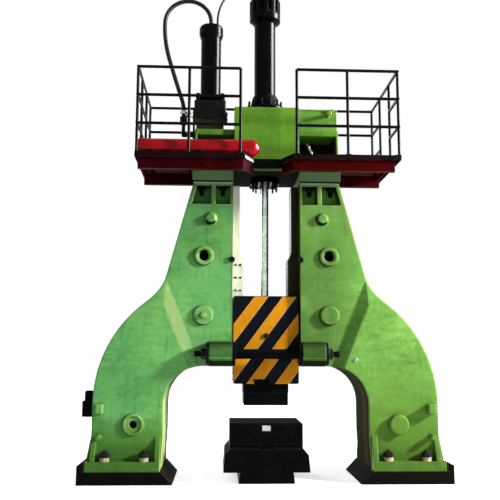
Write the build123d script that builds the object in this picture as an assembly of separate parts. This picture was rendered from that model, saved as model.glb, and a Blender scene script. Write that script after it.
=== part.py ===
"""A double-arm hydraulic forging hammer (about 3 t): frame, ram, dies, power head, platform.

Millimetres. X runs across the hammer, Y from the front (-) to the back (+), Z up from the floor.
The origin is on the ram's axis at floor level.
"""

from build123d import *
import math
import os

# Sole plates and foundation bolts
sole_inner_x = 1130.0
sole_outer_x = 2258.0
sole_half_depth = 550.0
sole_thickness = 150.0
sole_ledge = 15.0
end_stop_width = 78.0
end_stop_height = 72.0
end_stop_rise = 40.0
foundation_bolt_diameter = 48.0
foundation_bolt_top_z = 392.0
foundation_bolt_embedment = 110.0
foundation_washer_radius = 56.0
foundation_washer_thickness = 45.0
foundation_nut_flats = 96.0
foundation_nut_height = 60.0
bolt_hole_gap = 1.0

# Leg castings
throat_width = 860.0
leg_top_z = 3730.0
leg_top_outer_x = 935.0
waist_x = 1309.0
waist_z = 2341.0
waist_radius = 600.0
shoulder_x = 2118.0
shoulder_z = 1663.0
shoulder_radius = 1528.0
arch_x = 1262.0
arch_crown_z = 1390.0
arch_radius = 470.0
flare_z = 560.0
foot_inner_x = 1285.0
foot_outer_x = 2170.0
foot_flange_thickness = 115.0
foot_flange_half_depth = 545.0
column_half_depth = 360.0
foot_half_depth = 430.0
lean_top_z = 2450.0
lean_bottom_z = 2150.0
facet_top_x = 1262.0
facet_foot_x = 827.0
facet_run_per_step = 1.86
leg_wall = 60.0

# Pockets under the leg's top plate
pocket_bottom_z = 3440.0
pocket_depth = 130.0
pocket_top_plate = 50.0
pocket_inner_wall = 30.0
pocket_outer_wall = 52.0
pocket_rib_x = 685.0
pocket_rib_width = 60.0

# Round bosses on the leg faces
boss_height = 30.0
boss_edge = 12.0
plug_boss_height = 50.0
plug_boss_edge = 20.0
top_boss_x = 715.0
top_boss_z = 3250.0
top_boss_radius = 82.0
top_boss_tip_radius = 54.0
top_boss_height = 50.0
core_boss_x = 795.0
upper_core_boss_z = 2766.0
middle_boss_z = 2018.0
core_boss_radius = 123.0
core_hole_radius = 61.0
core_mouth = 17.0
knob_radius = 36.0
knob_height = 26.0
foot_boss_x = 1620.0
foot_boss_z = 690.0
foot_boss_radius = 130.0
foot_boss_rim = 32.0
foot_boss_recess = 12.0
foot_hole_radius = 46.0
foot_plug_radius = 120.0
foot_plug_height = 66.0

# Lugs and gussets on the legs
lug_x = 2025.0
upper_lug_z = 878.0
upper_lug_width = 92.0
upper_lug_height = 112.0
lower_lug_z = 542.0
lower_lug_radius = 34.0
lug_length = 100.0
gusset_thickness = 66.0
gusset_top_z = 560.0
gusset_setback = 15.0

# Tie rods between the legs
tie_axis_z = 1540.0
tie_axis_y = 480.0
tie_boss_radius = 150.0
tie_boss_outer_x = 712.0
tie_rod_diameter = 72.0
tie_rod_half_length = 892.0
tie_spacer_radius = 60.0
tie_spacer_flange_radius = 148.0
tie_spacer_flange = 38.0
tie_nut_flats = 112.0
tie_nut_thickness = 62.0
tie_washer_radius = 144.0
tie_washer_thickness = 37.0
tie_washer_gap = 1.0

# Ram guides
guide_nose_x = 292.0
guide_rail_x = 338.0
guide_half_width = 150.0
guide_top_z = 2850.0
guide_chamfer = 90.0
liner_thickness = 15.0
liner_clearance = 0.5
guide_screw_rows = 8
guide_screw_top_z = 2680.0
guide_screw_pitch = 165.0
guide_screw_flats = 26.0
guide_screw_height = 9.0
guide_screw_inner_x = 326.0
guide_screw_outer_x = 388.0
screw_slot_half_width = 18.0
screw_slot_gap = 3.0
guide_clamp_radius = 36.0
guide_clamp_height = 26.0
guide_clamp_offset = 8.0
guide_clamp_plate = 12.0
guide_clamp_arm = 14.0
guide_clamp_z = 2725.0

# Ram (tup) and its dies
ram_half_width = 411.0
ram_half_depth = 300.0
ram_bottom_z = 1170.0
ram_top_z = 2268.0
ram_edge = 14.0
die_shank_width = 150.0
die_wedge_width = 36.0
die_shank_height = 58.0
die_shank_flare = 10.0
upper_shank_center_x = -39.0
lower_shank_center_x = 18.0
upper_die_half_width = 283.0
upper_die_half_depth = 255.0
upper_die_bottom_z = 904.0
upper_die_step_z = 1060.0
upper_die_step = 5.0
dowel_width = 60.0
dowel_height = 40.0
dowel_length = 120.0
plug_radius = 34.0
plug_z = 1765.0

# Anvil and the lower die
lower_die_top_z = 700.0
lower_die_half_width = 450.0
lower_die_half_depth = 360.0
lower_die_bottom_z = 452.0
lower_die_edge = 10.0
anvil_half_depth = 480.0
anvil_half_width = 510.0
anvil_shoulder_z = 332.0
anvil_step_z = 130.0
anvil_foot_half_width = 322.0
anvil_foot_flare = 18.0
anvil_flare = 14.0
anvil_neck_z = 402.0
die_key_width = 101.0
die_key_height = 64.0
die_key_z = 638.0
die_key_depth = 60.0

# Power head on top of the legs
head_half_width = 955.0
wing_half_width = 930.0
head_half_depth = 400.0
head_flange = 130.0
head_base = 40.0
block_half_width = 420.0
block_half_depth = 450.0
block_height = 290.0
shelf_top_z = 4420.0
shelf_thickness = 75.0
head_end_wall = 30.0
head_web = 60.0
head_bolt_diameter = 56.0
head_bolt_inner_x = 560.0
head_bolt_outer_x = 835.0
head_bolt_y = 295.0
head_bolt_drop = 123.0

# Oil box on the right wing
oil_box_outer_x = 922.0
oil_box_half_depth = 350.0
oil_box_height = 296.0
oil_box_wall = 8.0
oil_box_cover_overhang = 8.0
oil_box_cover_thickness = 12.0
oil_lug_x = 850.0
oil_lug_width = 46.0
oil_lug_length = 34.0

# Main cylinder
bore_radius = 115.0
tube_radius = 145.0
tube_bottom_z = 3965.0
base_flange_radius = 264.0
base_flange_thickness = 110.0
base_bolt_circle = 222.0
base_bolt_count = 12
base_bolt_depth = 60.0
base_bolt_height = 215.0
clamp_ring_radius = 190.0
clamp_ring_thickness = 90.0
clamp_ring_height = 290.0
cap_radius = 212.0
cap_top_z = 6400.0
cap_height = 350.0
cap_seat_depth = 240.0
cap_plug_depth = 300.0
cap_taper = 40.0
cap_bolt_circle = 186.0
cap_bolt_count = 12
cap_scallop_radius = 30.0
large_bolt_diameter = 30.0
large_bolt_flats = 46.0

# Gland under the head
gland_radius = 190.0
gland_flange = 80.0
gland_spigot_radius = 140.0
gland_stud_circle = 160.0
gland_stud_count = 12
gland_stud_diameter = 24.0
gland_stud_drop = 85.0
bush_wall = 18.0
seal_height = 60.0

# Piston rod and piston
rod_radius = 50.0
running_clearance = 0.05
piston_bottom_z = 4300.0
piston_height = 140.0
piston_clearance = 1.0
ring_height = 12.0
ring_depth = 8.0
rod_thread_radius = 36.0
piston_nut_height = 50.0
taper_length = 260.0
taper_shrink = 9.0
sleeve_wall = 14.0

# Accumulator on the left wing
accumulator_x = -738.0
accumulator_y = -220.0
valve_block_half_width = 206.0
valve_block_half_depth = 165.0
valve_plate_height = 160.0
valve_block_height = 235.0
valve_plate_half_width = 178.0
valve_plate_half_depth = 140.0
accumulator_radius = 134.0
accumulator_bore = 106.0
accumulator_height = 985.0
accumulator_stand_radius = 104.0
accumulator_stand = 38.0
accumulator_flange = 38.0
accumulator_flange_half_width = 190.0
accumulator_flange_half_depth = 160.0
accumulator_bolt_half_x = 160.0
accumulator_bolt_half_y = 128.0
accumulator_cap_radius = 160.0
accumulator_cap_skirt = 75.0
accumulator_cap_height = 100.0
accumulator_cap_taper = 50.0
accumulator_cap_round = 36.0
accumulator_screw_flats = 30.0
accumulator_screw_height = 18.0
accumulator_bolt_circle = 92.0
accumulator_bolt_count = 6
accumulator_piston_rise = 335.0
accumulator_piston_height = 110.0

# Control spool in the valve block
spool_radius = 28.0
spool_waist_radius = 18.0
spool_height = 60.0
spool_travel = 20.0
spool_stem_radius = 12.0
valve_cover_half = 54.0
valve_cover_thickness = 18.0
valve_screw_flats = 17.0
valve_screw_height = 8.0

# Platform
deck_top_z = 3990.0
deck_edge = 60.0
deck_plate = 8.0
deck_outer_x = 1650.0
deck_half_depth = 810.0
deck_back_y = 750.0
deck_inner_x = 300.0
deck_corner_x = 180.0
deck_corner_y = 580.0
deck_gap = 12.0
deck_lip_back_y = 600.0
beam_top_z = 3930.0
beam_height = 140.0
beam_flange = 62.0
beam_web = 9.0
beam_inset = 40.0
front_channel_ends = (1612.0, 1575.0)
middle_beam_ends = (1612.0, 1550.0)
cross_angle = 60.0
packer_places = (500.0, 1000.0, 1500.0)
middle_beam_height = 158.0
bridge_height = 122.0
bridge_overlap = 50.0

# Railings
rail_radius = 19.0
rail_inner_x = 352.0
rail_front_inset = 25.0
rail_inset = 20.0
rail_heights = (370.0, 735.0, 1100.0)
gate_front_y = -330.0
gate_back_y = 210.0
post_pad = 76.0
post_pad_depth = 44.0
post_pad_thickness = 8.0

# Gas bottle and its cradles
bottle_radius = 108.0
bottle_inset_y = 190.0
bottle_gap = 3.0
bottle_inset_x = 25.0
bottle_right_x = -102.0
bottle_dome = 105.0
cradle_places = (-1450.0, -850.0, -330.0)
cradle_width = 40.0
cradle_half_span = 104.0
cradle_height = 62.0

# Shut-off valve on the left wing
valve_x = -1090.0
valve_y = -220.0
valve_body_radius = 48.0
valve_body_rise = 165.0
valve_body_half_height = 52.0
valve_neck_radius = 24.0
valve_neck_height = 87.0
lever_length = 128.0
lever_width = 26.0
lever_thickness = 10.0
lever_stem_radius = 14.0
lever_offset = 22.0
lever_rest_angle = 40.0

# Hoses
thick_hose_diameter = 56.0
thin_hose_diameter = 30.0
thin_hose_offset = 83.0

# Electrical junction box on the left leg
box_depth = 140.0
box_low_z = 770.0
box_high_z = 960.0
box_front_y = -345.0
box_back_y = -150.0
box_cover_thickness = 14.0
box_cover_inset = 6.0
gland_dome_radius = 55.0
gland_dome_top_z = 1085.0

# Pressure supply port at the back of the head
supply_x = 200.0
supply_z = 4300.0
supply_pipe_radius = 42.0
supply_bore_radius = 25.0
supply_bore_depth = 60.0
supply_flange_size = 150.0
supply_flange_thickness = 36.0
supply_bolt_spacing = 98.0
supply_bolt_hole_radius = 9.0

# Values worked out from the ones above
leg_inner_x = throat_width / 2
foot_flange_top_z = sole_thickness + foot_flange_thickness
head_floor_z = leg_top_z + head_flange
block_top_z = shelf_top_z + block_height
oil_box_top_z = shelf_top_z + oil_box_height
base_bolt_low_z = block_top_z - base_bolt_depth
base_bolt_top_z = block_top_z + base_bolt_height
clamp_top_z = block_top_z + clamp_ring_height
cap_bottom_z = cap_top_z - cap_height
cap_seat_z = cap_top_z - cap_seat_depth
tube_top_z = cap_top_z - cap_plug_depth
valve_block_low_z = shelf_top_z + valve_plate_height
valve_block_top_z = valve_block_low_z + valve_block_height
spool_z = valve_block_low_z + spool_height
accumulator_top_z = valve_block_top_z + accumulator_height
accumulator_cap_low_z = accumulator_top_z - accumulator_cap_skirt
accumulator_cap_top_z = accumulator_top_z + accumulator_cap_height
accumulator_piston_z = valve_block_top_z + accumulator_piston_rise
rail_front_y = deck_half_depth - rail_front_inset
rail_back_y = deck_back_y - rail_inset
rail_post_x = deck_outer_x - rail_inset
rail_middle_post_x = (rail_inner_x + rail_post_x) / 2
bottle_axis_y = bottle_inset_y - deck_half_depth
bottle_axis_z = deck_top_z + bottle_radius + bottle_gap
bottle_left_x = bottle_inset_x - deck_outer_x
valve_body_z = shelf_top_z + valve_body_rise
valve_top_z = valve_body_z + valve_neck_height


# Shapes that many pieces share
def box(x_low, x_high, y_low, y_high, z_low, z_high):
    size = (x_high - x_low, y_high - y_low, z_high - z_low)
    return Pos(x_low, y_low, z_low) * Box(*size, align=(Align.MIN, Align.MIN, Align.MIN))


def block(half_width, half_depth, z_low, z_high):
    return box(-half_width, half_width, -half_depth, half_depth, z_low, z_high)


def rod_x(x_low, x_high, y, z, radius):
    return Pos((x_low + x_high) / 2, y, z) * Rot(0, 90, 0) * Cylinder(radius, x_high - x_low)


def rod_y(x, y_low, y_high, z, radius):
    return Pos(x, (y_low + y_high) / 2, z) * Rot(90, 0, 0) * Cylinder(radius, y_high - y_low)


def rod_z(x, y, z_low, z_high, radius):
    return Pos(x, y, (z_low + z_high) / 2) * Cylinder(radius, z_high - z_low)


def hexagon(flats):
    return RegularPolygon(flats / 2, 6, major_radius=False)


def hex_z(x, y, z_low, z_high, flats):
    return extrude(Pos(x, y, z_low) * hexagon(flats), z_high - z_low)


def hex_x(x_low, x_high, y, z, flats):
    return extrude(Pos(x_low, y, z) * Rot(0, 90, 0) * hexagon(flats), x_high - x_low)


def hex_y(x, y_low, y_high, z, flats):
    return extrude(Pos(x, y_high, z) * Rot(90, 0, 0) * hexagon(flats), y_high - y_low)


def profile(points, rounds=None):
    """A closed outline; rounds gives the fillet radius of each corner, in order."""
    if rounds is None:
        return make_face(Polyline(*points, close=True))
    return make_face(FilletPolyline(*points, radius=rounds, close=True))


def prism_x(outline, x_low, x_high):
    """An outline drawn in (Y, Z), pushed along X."""
    return extrude(Plane.YZ.offset(x_low) * outline, x_high - x_low)


def prism_y(outline, y_low, y_high):
    """An outline drawn in (X, Z), pushed along Y."""
    return extrude(Plane.XZ.offset(-y_high) * outline, y_high - y_low)


def prism_z(outline, z_low, z_high):
    return extrude(Pos(0, 0, z_low) * outline, z_high - z_low)


def turned(points, x=0.0, y=0.0):
    """A profile drawn in (radius, Z), turned about a vertical axis through (x, y)."""
    outline = Plane.XZ * make_face(Polyline(*points, close=True))
    return Pos(x, y, 0) * revolve(outline, Axis.Z)


def circle_places(count, radius, x=0.0, y=0.0, first=0.5):
    for index in range(count):
        angle = math.tau * (index + first) / count
        yield x + radius * math.cos(angle), y + radius * math.sin(angle)


def front_and_back(piece):
    return [piece, mirror(piece, about=Plane.XZ)]


def both_sides(piece):
    return [piece, mirror(piece, about=Plane.YZ)]


def four_corners(piece):
    return [copy for half in both_sides(piece) for copy in front_and_back(half)]


def on_side(piece, side):
    """Pieces are drawn on the right; the left ones are their mirror images."""
    return piece if side > 0 else mirror(piece, about=Plane.YZ)


def fuse(pieces):
    pieces = list(pieces)
    return pieces[0].fuse(*pieces[1:]) if len(pieces) > 1 else pieces[0]


def group(pieces):
    return Compound(children=[solid for piece in pieces for solid in piece.solids()])


# Leg castings
def leg_outline():
    points = [
        (leg_inner_x, leg_top_z),
        (leg_top_outer_x, leg_top_z),
        (waist_x, waist_z),
        (shoulder_x, shoulder_z),
        (shoulder_x, flare_z),
        (foot_outer_x, foot_flange_top_z),
        (foot_outer_x, sole_thickness),
        (foot_inner_x, sole_thickness),
        (arch_x, flare_z),
        (arch_x, arch_crown_z),
        (leg_inner_x, arch_crown_z),
    ]
    rounds = [0, 0, waist_radius, shoulder_radius, 0, 0, 0, 0, 0, arch_radius, 0]
    return profile(points, rounds)


def lean_cutter():
    """What lies in front of the foot's face, which leans back to meet the column's face."""
    beyond = 2 * foot_half_depth
    outline = profile([
        (-column_half_depth, lean_top_z),
        (-foot_half_depth, lean_bottom_z),
        (-beyond, lean_bottom_z),
        (-beyond, leg_top_z + leg_wall),
        (-column_half_depth, leg_top_z + leg_wall),
    ])
    return prism_x(outline, 0, foot_outer_x)


def facet_cutter():
    """What lies in front of the column's face, on the throat side of the sloping facet."""
    start = Vector(facet_top_x, -column_half_depth, lean_top_z)
    run = Vector(facet_foot_x, -column_half_depth, arch_crown_z) - start
    along = run.normalized()
    outward = Vector(-along.Z, 0, along.X)
    margin = leg_inner_x / 2
    height = 2 * (foot_half_depth - column_half_depth)
    section = profile([
        (0, 0),
        (height * facet_run_per_step, height),
        (-2 * leg_top_outer_x, height),
        (-2 * leg_top_outer_x, 0),
    ])
    plane = Plane(origin=start - along * margin, x_dir=outward, z_dir=along)
    return extrude(plane * section, run.length + 2 * margin)


def outer_edge_x(z):
    """The leg's straight upper outer edge."""
    slope = (waist_x - leg_top_outer_x) / (leg_top_z - waist_z)
    return leg_top_outer_x + (leg_top_z - z) * slope


def pocket_cutters():
    top = leg_top_z - pocket_top_plate
    inner = box(
        leg_inner_x + pocket_inner_wall, pocket_rib_x - pocket_rib_width / 2,
        -column_half_depth - 1, -column_half_depth + pocket_depth, pocket_bottom_z, top,
    )
    rib_side = pocket_rib_x + pocket_rib_width / 2
    outline = profile([
        (rib_side, pocket_bottom_z),
        (outer_edge_x(pocket_bottom_z) - pocket_outer_wall, pocket_bottom_z),
        (outer_edge_x(top) - pocket_outer_wall, top),
        (rib_side, top),
    ])
    outer = prism_y(outline, -column_half_depth - 1, -column_half_depth + pocket_depth)
    return [inner, outer]


def leg_hollow(outline):
    inner = offset(outline, amount=-leg_wall, kind=Kind.INTERSECTION)
    hollow = prism_y(inner, -column_half_depth + leg_wall, column_half_depth - leg_wall)
    low = foot_flange_top_z + leg_wall
    high = pocket_bottom_z - leg_wall
    return hollow & box(0, foot_outer_x, -column_half_depth, column_half_depth, low, high)


def round_boss(x, z, radius, face_y, height, edge):
    """A disc on a leg's face, with a rounded rim."""
    disc = rod_y(x, face_y - height, face_y + 1, z, radius)
    return fillet(disc.edges().sort_by(Axis.Y)[0], edge)


def cone_y(x, y_front, y_back, z, front_radius, back_radius):
    length = y_back - y_front
    cone = Cone(back_radius, front_radius, length)
    return Pos(x, (y_front + y_back) / 2, z) * Rot(90, 0, 0) * cone


def middle_boss(side):
    """On the left leg a low disc with a knob, on the right one a thick rounded plug."""
    if side > 0:
        return round_boss(
            core_boss_x, middle_boss_z, core_boss_radius, -column_half_depth, plug_boss_height, plug_boss_edge,
        )
    disc = round_boss(core_boss_x, middle_boss_z, core_boss_radius, -column_half_depth, boss_height, boss_edge)
    knob_front = -column_half_depth - boss_height - knob_height
    return disc + rod_y(core_boss_x, knob_front, -column_half_depth, middle_boss_z, knob_radius)


def foot_boss(side):
    """On the left leg a ring with a sunk face, on the right one a thick rounded plug."""
    if side > 0:
        return round_boss(
            foot_boss_x, foot_boss_z, foot_plug_radius, -foot_half_depth, foot_plug_height, plug_boss_edge,
        )
    disc = round_boss(foot_boss_x, foot_boss_z, foot_boss_radius, -foot_half_depth, boss_height, boss_edge)
    front = -foot_half_depth - boss_height
    sunk = rod_y(foot_boss_x, front - 1, front + foot_boss_recess, foot_boss_z, foot_boss_radius - foot_boss_rim)
    return disc - sunk


def leg_bosses(side):
    face_y = -column_half_depth
    return [
        cone_y(top_boss_x, face_y - top_boss_height, face_y, top_boss_z, top_boss_tip_radius, top_boss_radius),
        round_boss(core_boss_x, upper_core_boss_z, core_boss_radius, face_y, boss_height, boss_edge),
        middle_boss(side),
        foot_boss(side),
    ]


def core_holes(side):
    """Holes into the hollow leg: the upper one with a wide mouth, the left leg's one in its foot boss."""
    inside = -column_half_depth + leg_wall + 1
    front = -column_half_depth - boss_height
    holes = [
        rod_y(core_boss_x, front - 1, inside, upper_core_boss_z, core_hole_radius),
        cone_y(
            core_boss_x, front, front + core_mouth, upper_core_boss_z,
            core_hole_radius + core_mouth, core_hole_radius,
        ),
    ]
    if side < 0:
        holes.append(rod_y(foot_boss_x, -foot_half_depth - boss_height - 1, inside, foot_boss_z, foot_hole_radius))
    return holes


def tie_boss():
    barrel = rod_x(leg_inner_x, tie_boss_outer_x, -tie_axis_y, tie_axis_z, tie_boss_radius)
    root = box(
        leg_inner_x, tie_boss_outer_x, -tie_axis_y, -column_half_depth + 1,
        tie_axis_z - tie_boss_radius, tie_axis_z + tie_boss_radius,
    )
    return barrel + root


def gusset(x_low):
    outline = profile([
        (-foot_half_depth + 1, gusset_top_z),
        (-foot_flange_half_depth + gusset_setback, foot_flange_top_z),
        (-foot_half_depth + 1, foot_flange_top_z),
    ])
    return prism_x(outline, x_low, x_low + gusset_thickness)


def leg_lugs():
    """A square lifting lug and a round one below it, near the foot's outer edge."""
    front = -foot_half_depth - lug_length
    square = box(
        lug_x - upper_lug_width / 2, lug_x + upper_lug_width / 2, front, -foot_half_depth + 1,
        upper_lug_z - upper_lug_height / 2, upper_lug_z + upper_lug_height / 2,
    )
    return [square, rod_y(lug_x, front, -foot_half_depth + 1, lower_lug_z, lower_lug_radius)]


def leg_bolt_holes():
    """Through holes for the tie rods, the foundation bolts and the head bolts."""
    holes = []
    tie_radius = tie_rod_diameter / 2 + bolt_hole_gap
    holes += front_and_back(rod_x(leg_inner_x - 1, tie_boss_outer_x + 1, -tie_axis_y, tie_axis_z, tie_radius))
    foot_radius = foundation_bolt_diameter / 2 + bolt_hole_gap
    for x, y in foundation_bolt_places():
        holes += front_and_back(rod_z(x, -y, sole_thickness - 1, foot_flange_top_z + 1, foot_radius))
    head_radius = head_bolt_diameter / 2 + bolt_hole_gap
    plate_low = leg_top_z - pocket_top_plate
    for x in (head_bolt_inner_x, head_bolt_outer_x):
        holes += front_and_back(rod_z(x, -head_bolt_y, plate_low - 1, leg_top_z + 1, head_radius))
    return holes


def foundation_bolt_places():
    """Inner and outer bolts, half way between the leg's face and the flange's edge."""
    y = (foot_half_depth + foot_flange_half_depth) / 2
    inner = foot_inner_x + gusset_thickness + 2.6 * foundation_bolt_diameter
    outer = shoulder_x - gusset_thickness - 2.3 * foundation_bolt_diameter
    return [(inner, y), (outer, y)]


def leg(side):
    outline = leg_outline()
    column = prism_y(outline, -column_half_depth, column_half_depth)
    foot = prism_y(outline, -foot_half_depth, foot_half_depth)
    for cutter in front_and_back(lean_cutter()) + front_and_back(facet_cutter()):
        foot = foot - cutter
    flange = box(
        foot_inner_x, foot_outer_x, -foot_flange_half_depth, foot_flange_half_depth,
        sole_thickness, foot_flange_top_z,
    )
    body = column + foot + flange
    for cutter in pocket_cutters():
        for copy in front_and_back(cutter):
            body = body - copy
    body = body - leg_hollow(outline)
    details = [tie_boss(), gusset(foot_inner_x), gusset(shoulder_x - gusset_thickness)]
    for detail in details + leg_bosses(side) + leg_lugs():
        body = body + detail + mirror(detail, about=Plane.XZ)
    for cutter in core_holes(side) + leg_bolt_holes():
        body = body - cutter
    return on_side(body, side)


def sole_plate(side):
    """A thick plate whose outer end is a stop behind the leg's foot, with a top that falls outwards."""
    stop_x = max(foot_outer_x + 2, sole_outer_x - end_stop_width)
    stop_top = sole_thickness + end_stop_height
    outline = profile([
        (sole_inner_x, 0),
        (sole_outer_x, 0),
        (sole_outer_x, stop_top),
        (stop_x, stop_top + end_stop_rise),
        (stop_x, sole_thickness),
        (foot_inner_x - sole_ledge, sole_thickness),
    ])
    plate = prism_y(outline, -sole_half_depth, sole_half_depth)
    for x, y in foundation_bolt_places():
        for sign in (-1, 1):
            low = sole_thickness - foundation_bolt_embedment
            plate = plate - rod_z(x, sign * y, low, sole_thickness + 1, foundation_bolt_diameter / 2)
    return on_side(plate, side)


def foundation_bolts():
    """Studs screwed into the sole plates, each with a thick washer and a nut on the foot flange."""
    pieces = []
    washer_top = foot_flange_top_z + foundation_washer_thickness
    nut_top = washer_top + foundation_nut_height
    for x, y in foundation_bolt_places():
        low = sole_thickness - foundation_bolt_embedment
        stud = rod_z(x, -y, low, foundation_bolt_top_z, foundation_bolt_diameter / 2)
        washer = rod_z(x, -y, foot_flange_top_z, washer_top, foundation_washer_radius)
        nut = hex_z(x, -y, washer_top, nut_top, foundation_nut_flats)
        pieces += four_corners(stud + washer + nut)
    return group(pieces)


# Tie rods
def tie_rods():
    front = rod_x(-tie_rod_half_length, tie_rod_half_length, -tie_axis_y, tie_axis_z, tie_rod_diameter / 2)
    return group(front_and_back(front))


def tie_rod_spacers():
    """Tubes between the legs, flanged where they press on the bosses."""
    tube = rod_x(-leg_inner_x, leg_inner_x, -tie_axis_y, tie_axis_z, tie_spacer_radius)
    inner_x = leg_inner_x - tie_spacer_flange
    for ends in ((inner_x, leg_inner_x), (-leg_inner_x, -inner_x)):
        tube = tube + rod_x(*ends, -tie_axis_y, tie_axis_z, tie_spacer_flange_radius)
    radius = tie_rod_diameter / 2 + bolt_hole_gap
    bore = rod_x(-leg_inner_x - 1, leg_inner_x + 1, -tie_axis_y, tie_axis_z, radius)
    return group(front_and_back(tube - bore))


def tie_rod_nuts():
    """Nuts on thick washers, which are cut flat where they pass the leg's face."""
    washer_x = tie_boss_outer_x + tie_washer_thickness
    nut_x = washer_x + tie_nut_thickness
    washer = rod_x(tie_boss_outer_x, washer_x, -tie_axis_y, tie_axis_z, tie_washer_radius)
    flat_y = -column_half_depth - tie_washer_gap
    low_z = tie_axis_z - tie_washer_radius
    washer = washer - box(
        tie_boss_outer_x, washer_x, flat_y, -tie_axis_y + tie_washer_radius, low_z, low_z + 2 * tie_washer_radius,
    )
    nut = hex_x(washer_x, nut_x, -tie_axis_y, tie_axis_z, tie_nut_flats)
    bore = rod_x(tie_boss_outer_x - 1, nut_x + 1, -tie_axis_y, tie_axis_z, tie_rod_diameter / 2)
    return group(four_corners(washer + nut - bore))


# Ram guides
def guide(side):
    """A rail bolted to the leg's inner face; its lower part reaches into the ram's groove."""
    core_x = guide_nose_x + liner_thickness
    core_half = guide_half_width - liner_thickness
    outline = profile([
        (core_x, arch_crown_z),
        (leg_inner_x, arch_crown_z),
        (leg_inner_x, leg_top_z),
        (guide_rail_x, leg_top_z),
        (guide_rail_x, guide_top_z),
        (core_x, guide_top_z - guide_chamfer),
    ])
    return on_side(prism_y(outline, -core_half, core_half), side)


def guide_clamps():
    """Round-headed clamps on the legs' front and back faces that hold the guides."""
    outer_y = -column_half_depth
    disc_x = leg_inner_x + guide_clamp_offset
    disc = rod_y(disc_x, outer_y - guide_clamp_height, outer_y, guide_clamp_z, guide_clamp_radius)
    low = guide_clamp_z - guide_clamp_radius / 2
    high = guide_clamp_z + guide_clamp_radius / 2
    inner_x = leg_inner_x - guide_clamp_arm
    front_y = outer_y - guide_clamp_plate
    arm = box(inner_x, leg_inner_x, front_y, -guide_half_width, low, high)
    pad = box(inner_x, disc_x, front_y, outer_y, low, high)
    return group(four_corners(disc + pad + arm))


def guide_liners():
    """Wear plates on the front, the back and the nose of each guide."""
    top = guide_top_z - guide_chamfer
    core_half = guide_half_width - liner_thickness
    front = box(guide_nose_x, leg_inner_x, -guide_half_width, -core_half, arch_crown_z, top)
    nose = box(guide_nose_x, guide_nose_x + liner_thickness, -core_half, core_half, arch_crown_z, top)
    return group(four_corners(front) + both_sides(nose))


def guide_screws():
    pieces = []
    front_y = -guide_half_width - guide_screw_height
    for row in range(guide_screw_rows):
        z = guide_screw_top_z - row * guide_screw_pitch
        for x in (guide_screw_inner_x, guide_screw_outer_x):
            pieces += four_corners(hex_y(x, front_y, -guide_half_width, z, guide_screw_flats))
    return group(pieces)


# Ram, dies and anvil
def shank_outline(center_x, parting_z, direction, left_extra=0.0):
    """A dovetail: direction +1 grows upwards from the parting face, -1 downwards."""
    half = die_shank_width / 2
    far_z = parting_z + direction * die_shank_height
    return profile([
        (center_x - half - left_extra, parting_z),
        (center_x + half, parting_z),
        (center_x + half + die_shank_flare, far_z),
        (center_x - half - left_extra - die_shank_flare, far_z),
    ])


def wedge_outline(center_x, parting_z, direction):
    left = center_x - die_shank_width / 2
    far_z = parting_z + direction * die_shank_height
    return profile([
        (left - die_wedge_width, parting_z),
        (left, parting_z),
        (left - die_shank_flare, far_z),
        (left - die_wedge_width - die_shank_flare, far_z),
    ])


def ram_block():
    body = block(ram_half_width, ram_half_depth, ram_bottom_z, ram_top_z)
    body = chamfer(body.edges().filter_by(Axis.X) + body.edges().filter_by(Axis.Y), ram_edge)
    for cutter in guide_groove_cutters():
        body = body - cutter
    slot = shank_outline(upper_shank_center_x, ram_bottom_z, 1, die_wedge_width)
    body = body - prism_y(slot, -ram_half_depth - 1, ram_half_depth + 1)
    body = body - upper_die_dowel()
    body = body - taper_plug(sleeve_wall, ram_top_z - taper_length)
    return body - rod_y(0, -ram_half_depth - 1, -ram_half_depth + plug_radius, plug_z, plug_radius)


def guide_groove_cutters():
    """The grooves that run on the liners, with slots that clear the screw heads."""
    low = ram_bottom_z - 1
    high = ram_top_z + 1
    half = guide_half_width + liner_clearance
    slot_half = half + guide_screw_height + screw_slot_gap
    cutters = both_sides(box(guide_nose_x - liner_clearance, ram_half_width + 1, -half, half, low, high))
    for x in (guide_screw_inner_x, guide_screw_outer_x):
        slot = box(
            x - screw_slot_half_width, x + screw_slot_half_width, -slot_half, slot_half, low, high,
        )
        cutters += both_sides(slot)
    return cutters


def ram_plug():
    return rod_y(0, -ram_half_depth - plug_radius / 2, -ram_half_depth + plug_radius, plug_z, plug_radius)


def taper_plug(extra, low_z):
    """The rod's tapered end, or with extra the sleeve around it or the hole it sits in."""
    return turned([
        (0, low_z),
        (rod_radius - taper_shrink + extra, low_z),
        (rod_radius + extra, ram_top_z),
        (0, ram_top_z),
    ])


def rod_taper_sleeve():
    return taper_plug(sleeve_wall, ram_top_z - taper_length) - taper_plug(0, ram_top_z - taper_length)


def upper_die():
    shank = prism_y(
        shank_outline(upper_shank_center_x, ram_bottom_z, 1), -upper_die_half_depth, upper_die_half_depth,
    )
    shoulder = block(upper_die_half_width, upper_die_half_depth, upper_die_step_z, ram_bottom_z)
    face = block(
        upper_die_half_width - upper_die_step, upper_die_half_depth - upper_die_step,
        upper_die_bottom_z, upper_die_step_z,
    )
    face = chamfer(face.faces().sort_by(Axis.Z)[0].edges(), lower_die_edge)
    return shoulder + face + shank - upper_die_dowel()


def upper_die_wedge():
    outline = wedge_outline(upper_shank_center_x, ram_bottom_z, 1)
    return prism_y(outline, -upper_die_half_depth, upper_die_half_depth)


def lower_dowel():
    z = lower_die_bottom_z - die_shank_height
    x = lower_shank_center_x
    half = dowel_height / 2
    return box(x - dowel_width / 2, x + dowel_width / 2, -dowel_length / 2, dowel_length / 2, z - half, z + half)


def upper_die_dowel():
    z = ram_bottom_z + die_shank_height
    x = upper_shank_center_x
    half = dowel_height / 2
    return box(x - dowel_width / 2, x + dowel_width / 2, -dowel_length / 2, dowel_length / 2, z - half, z + half)


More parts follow.
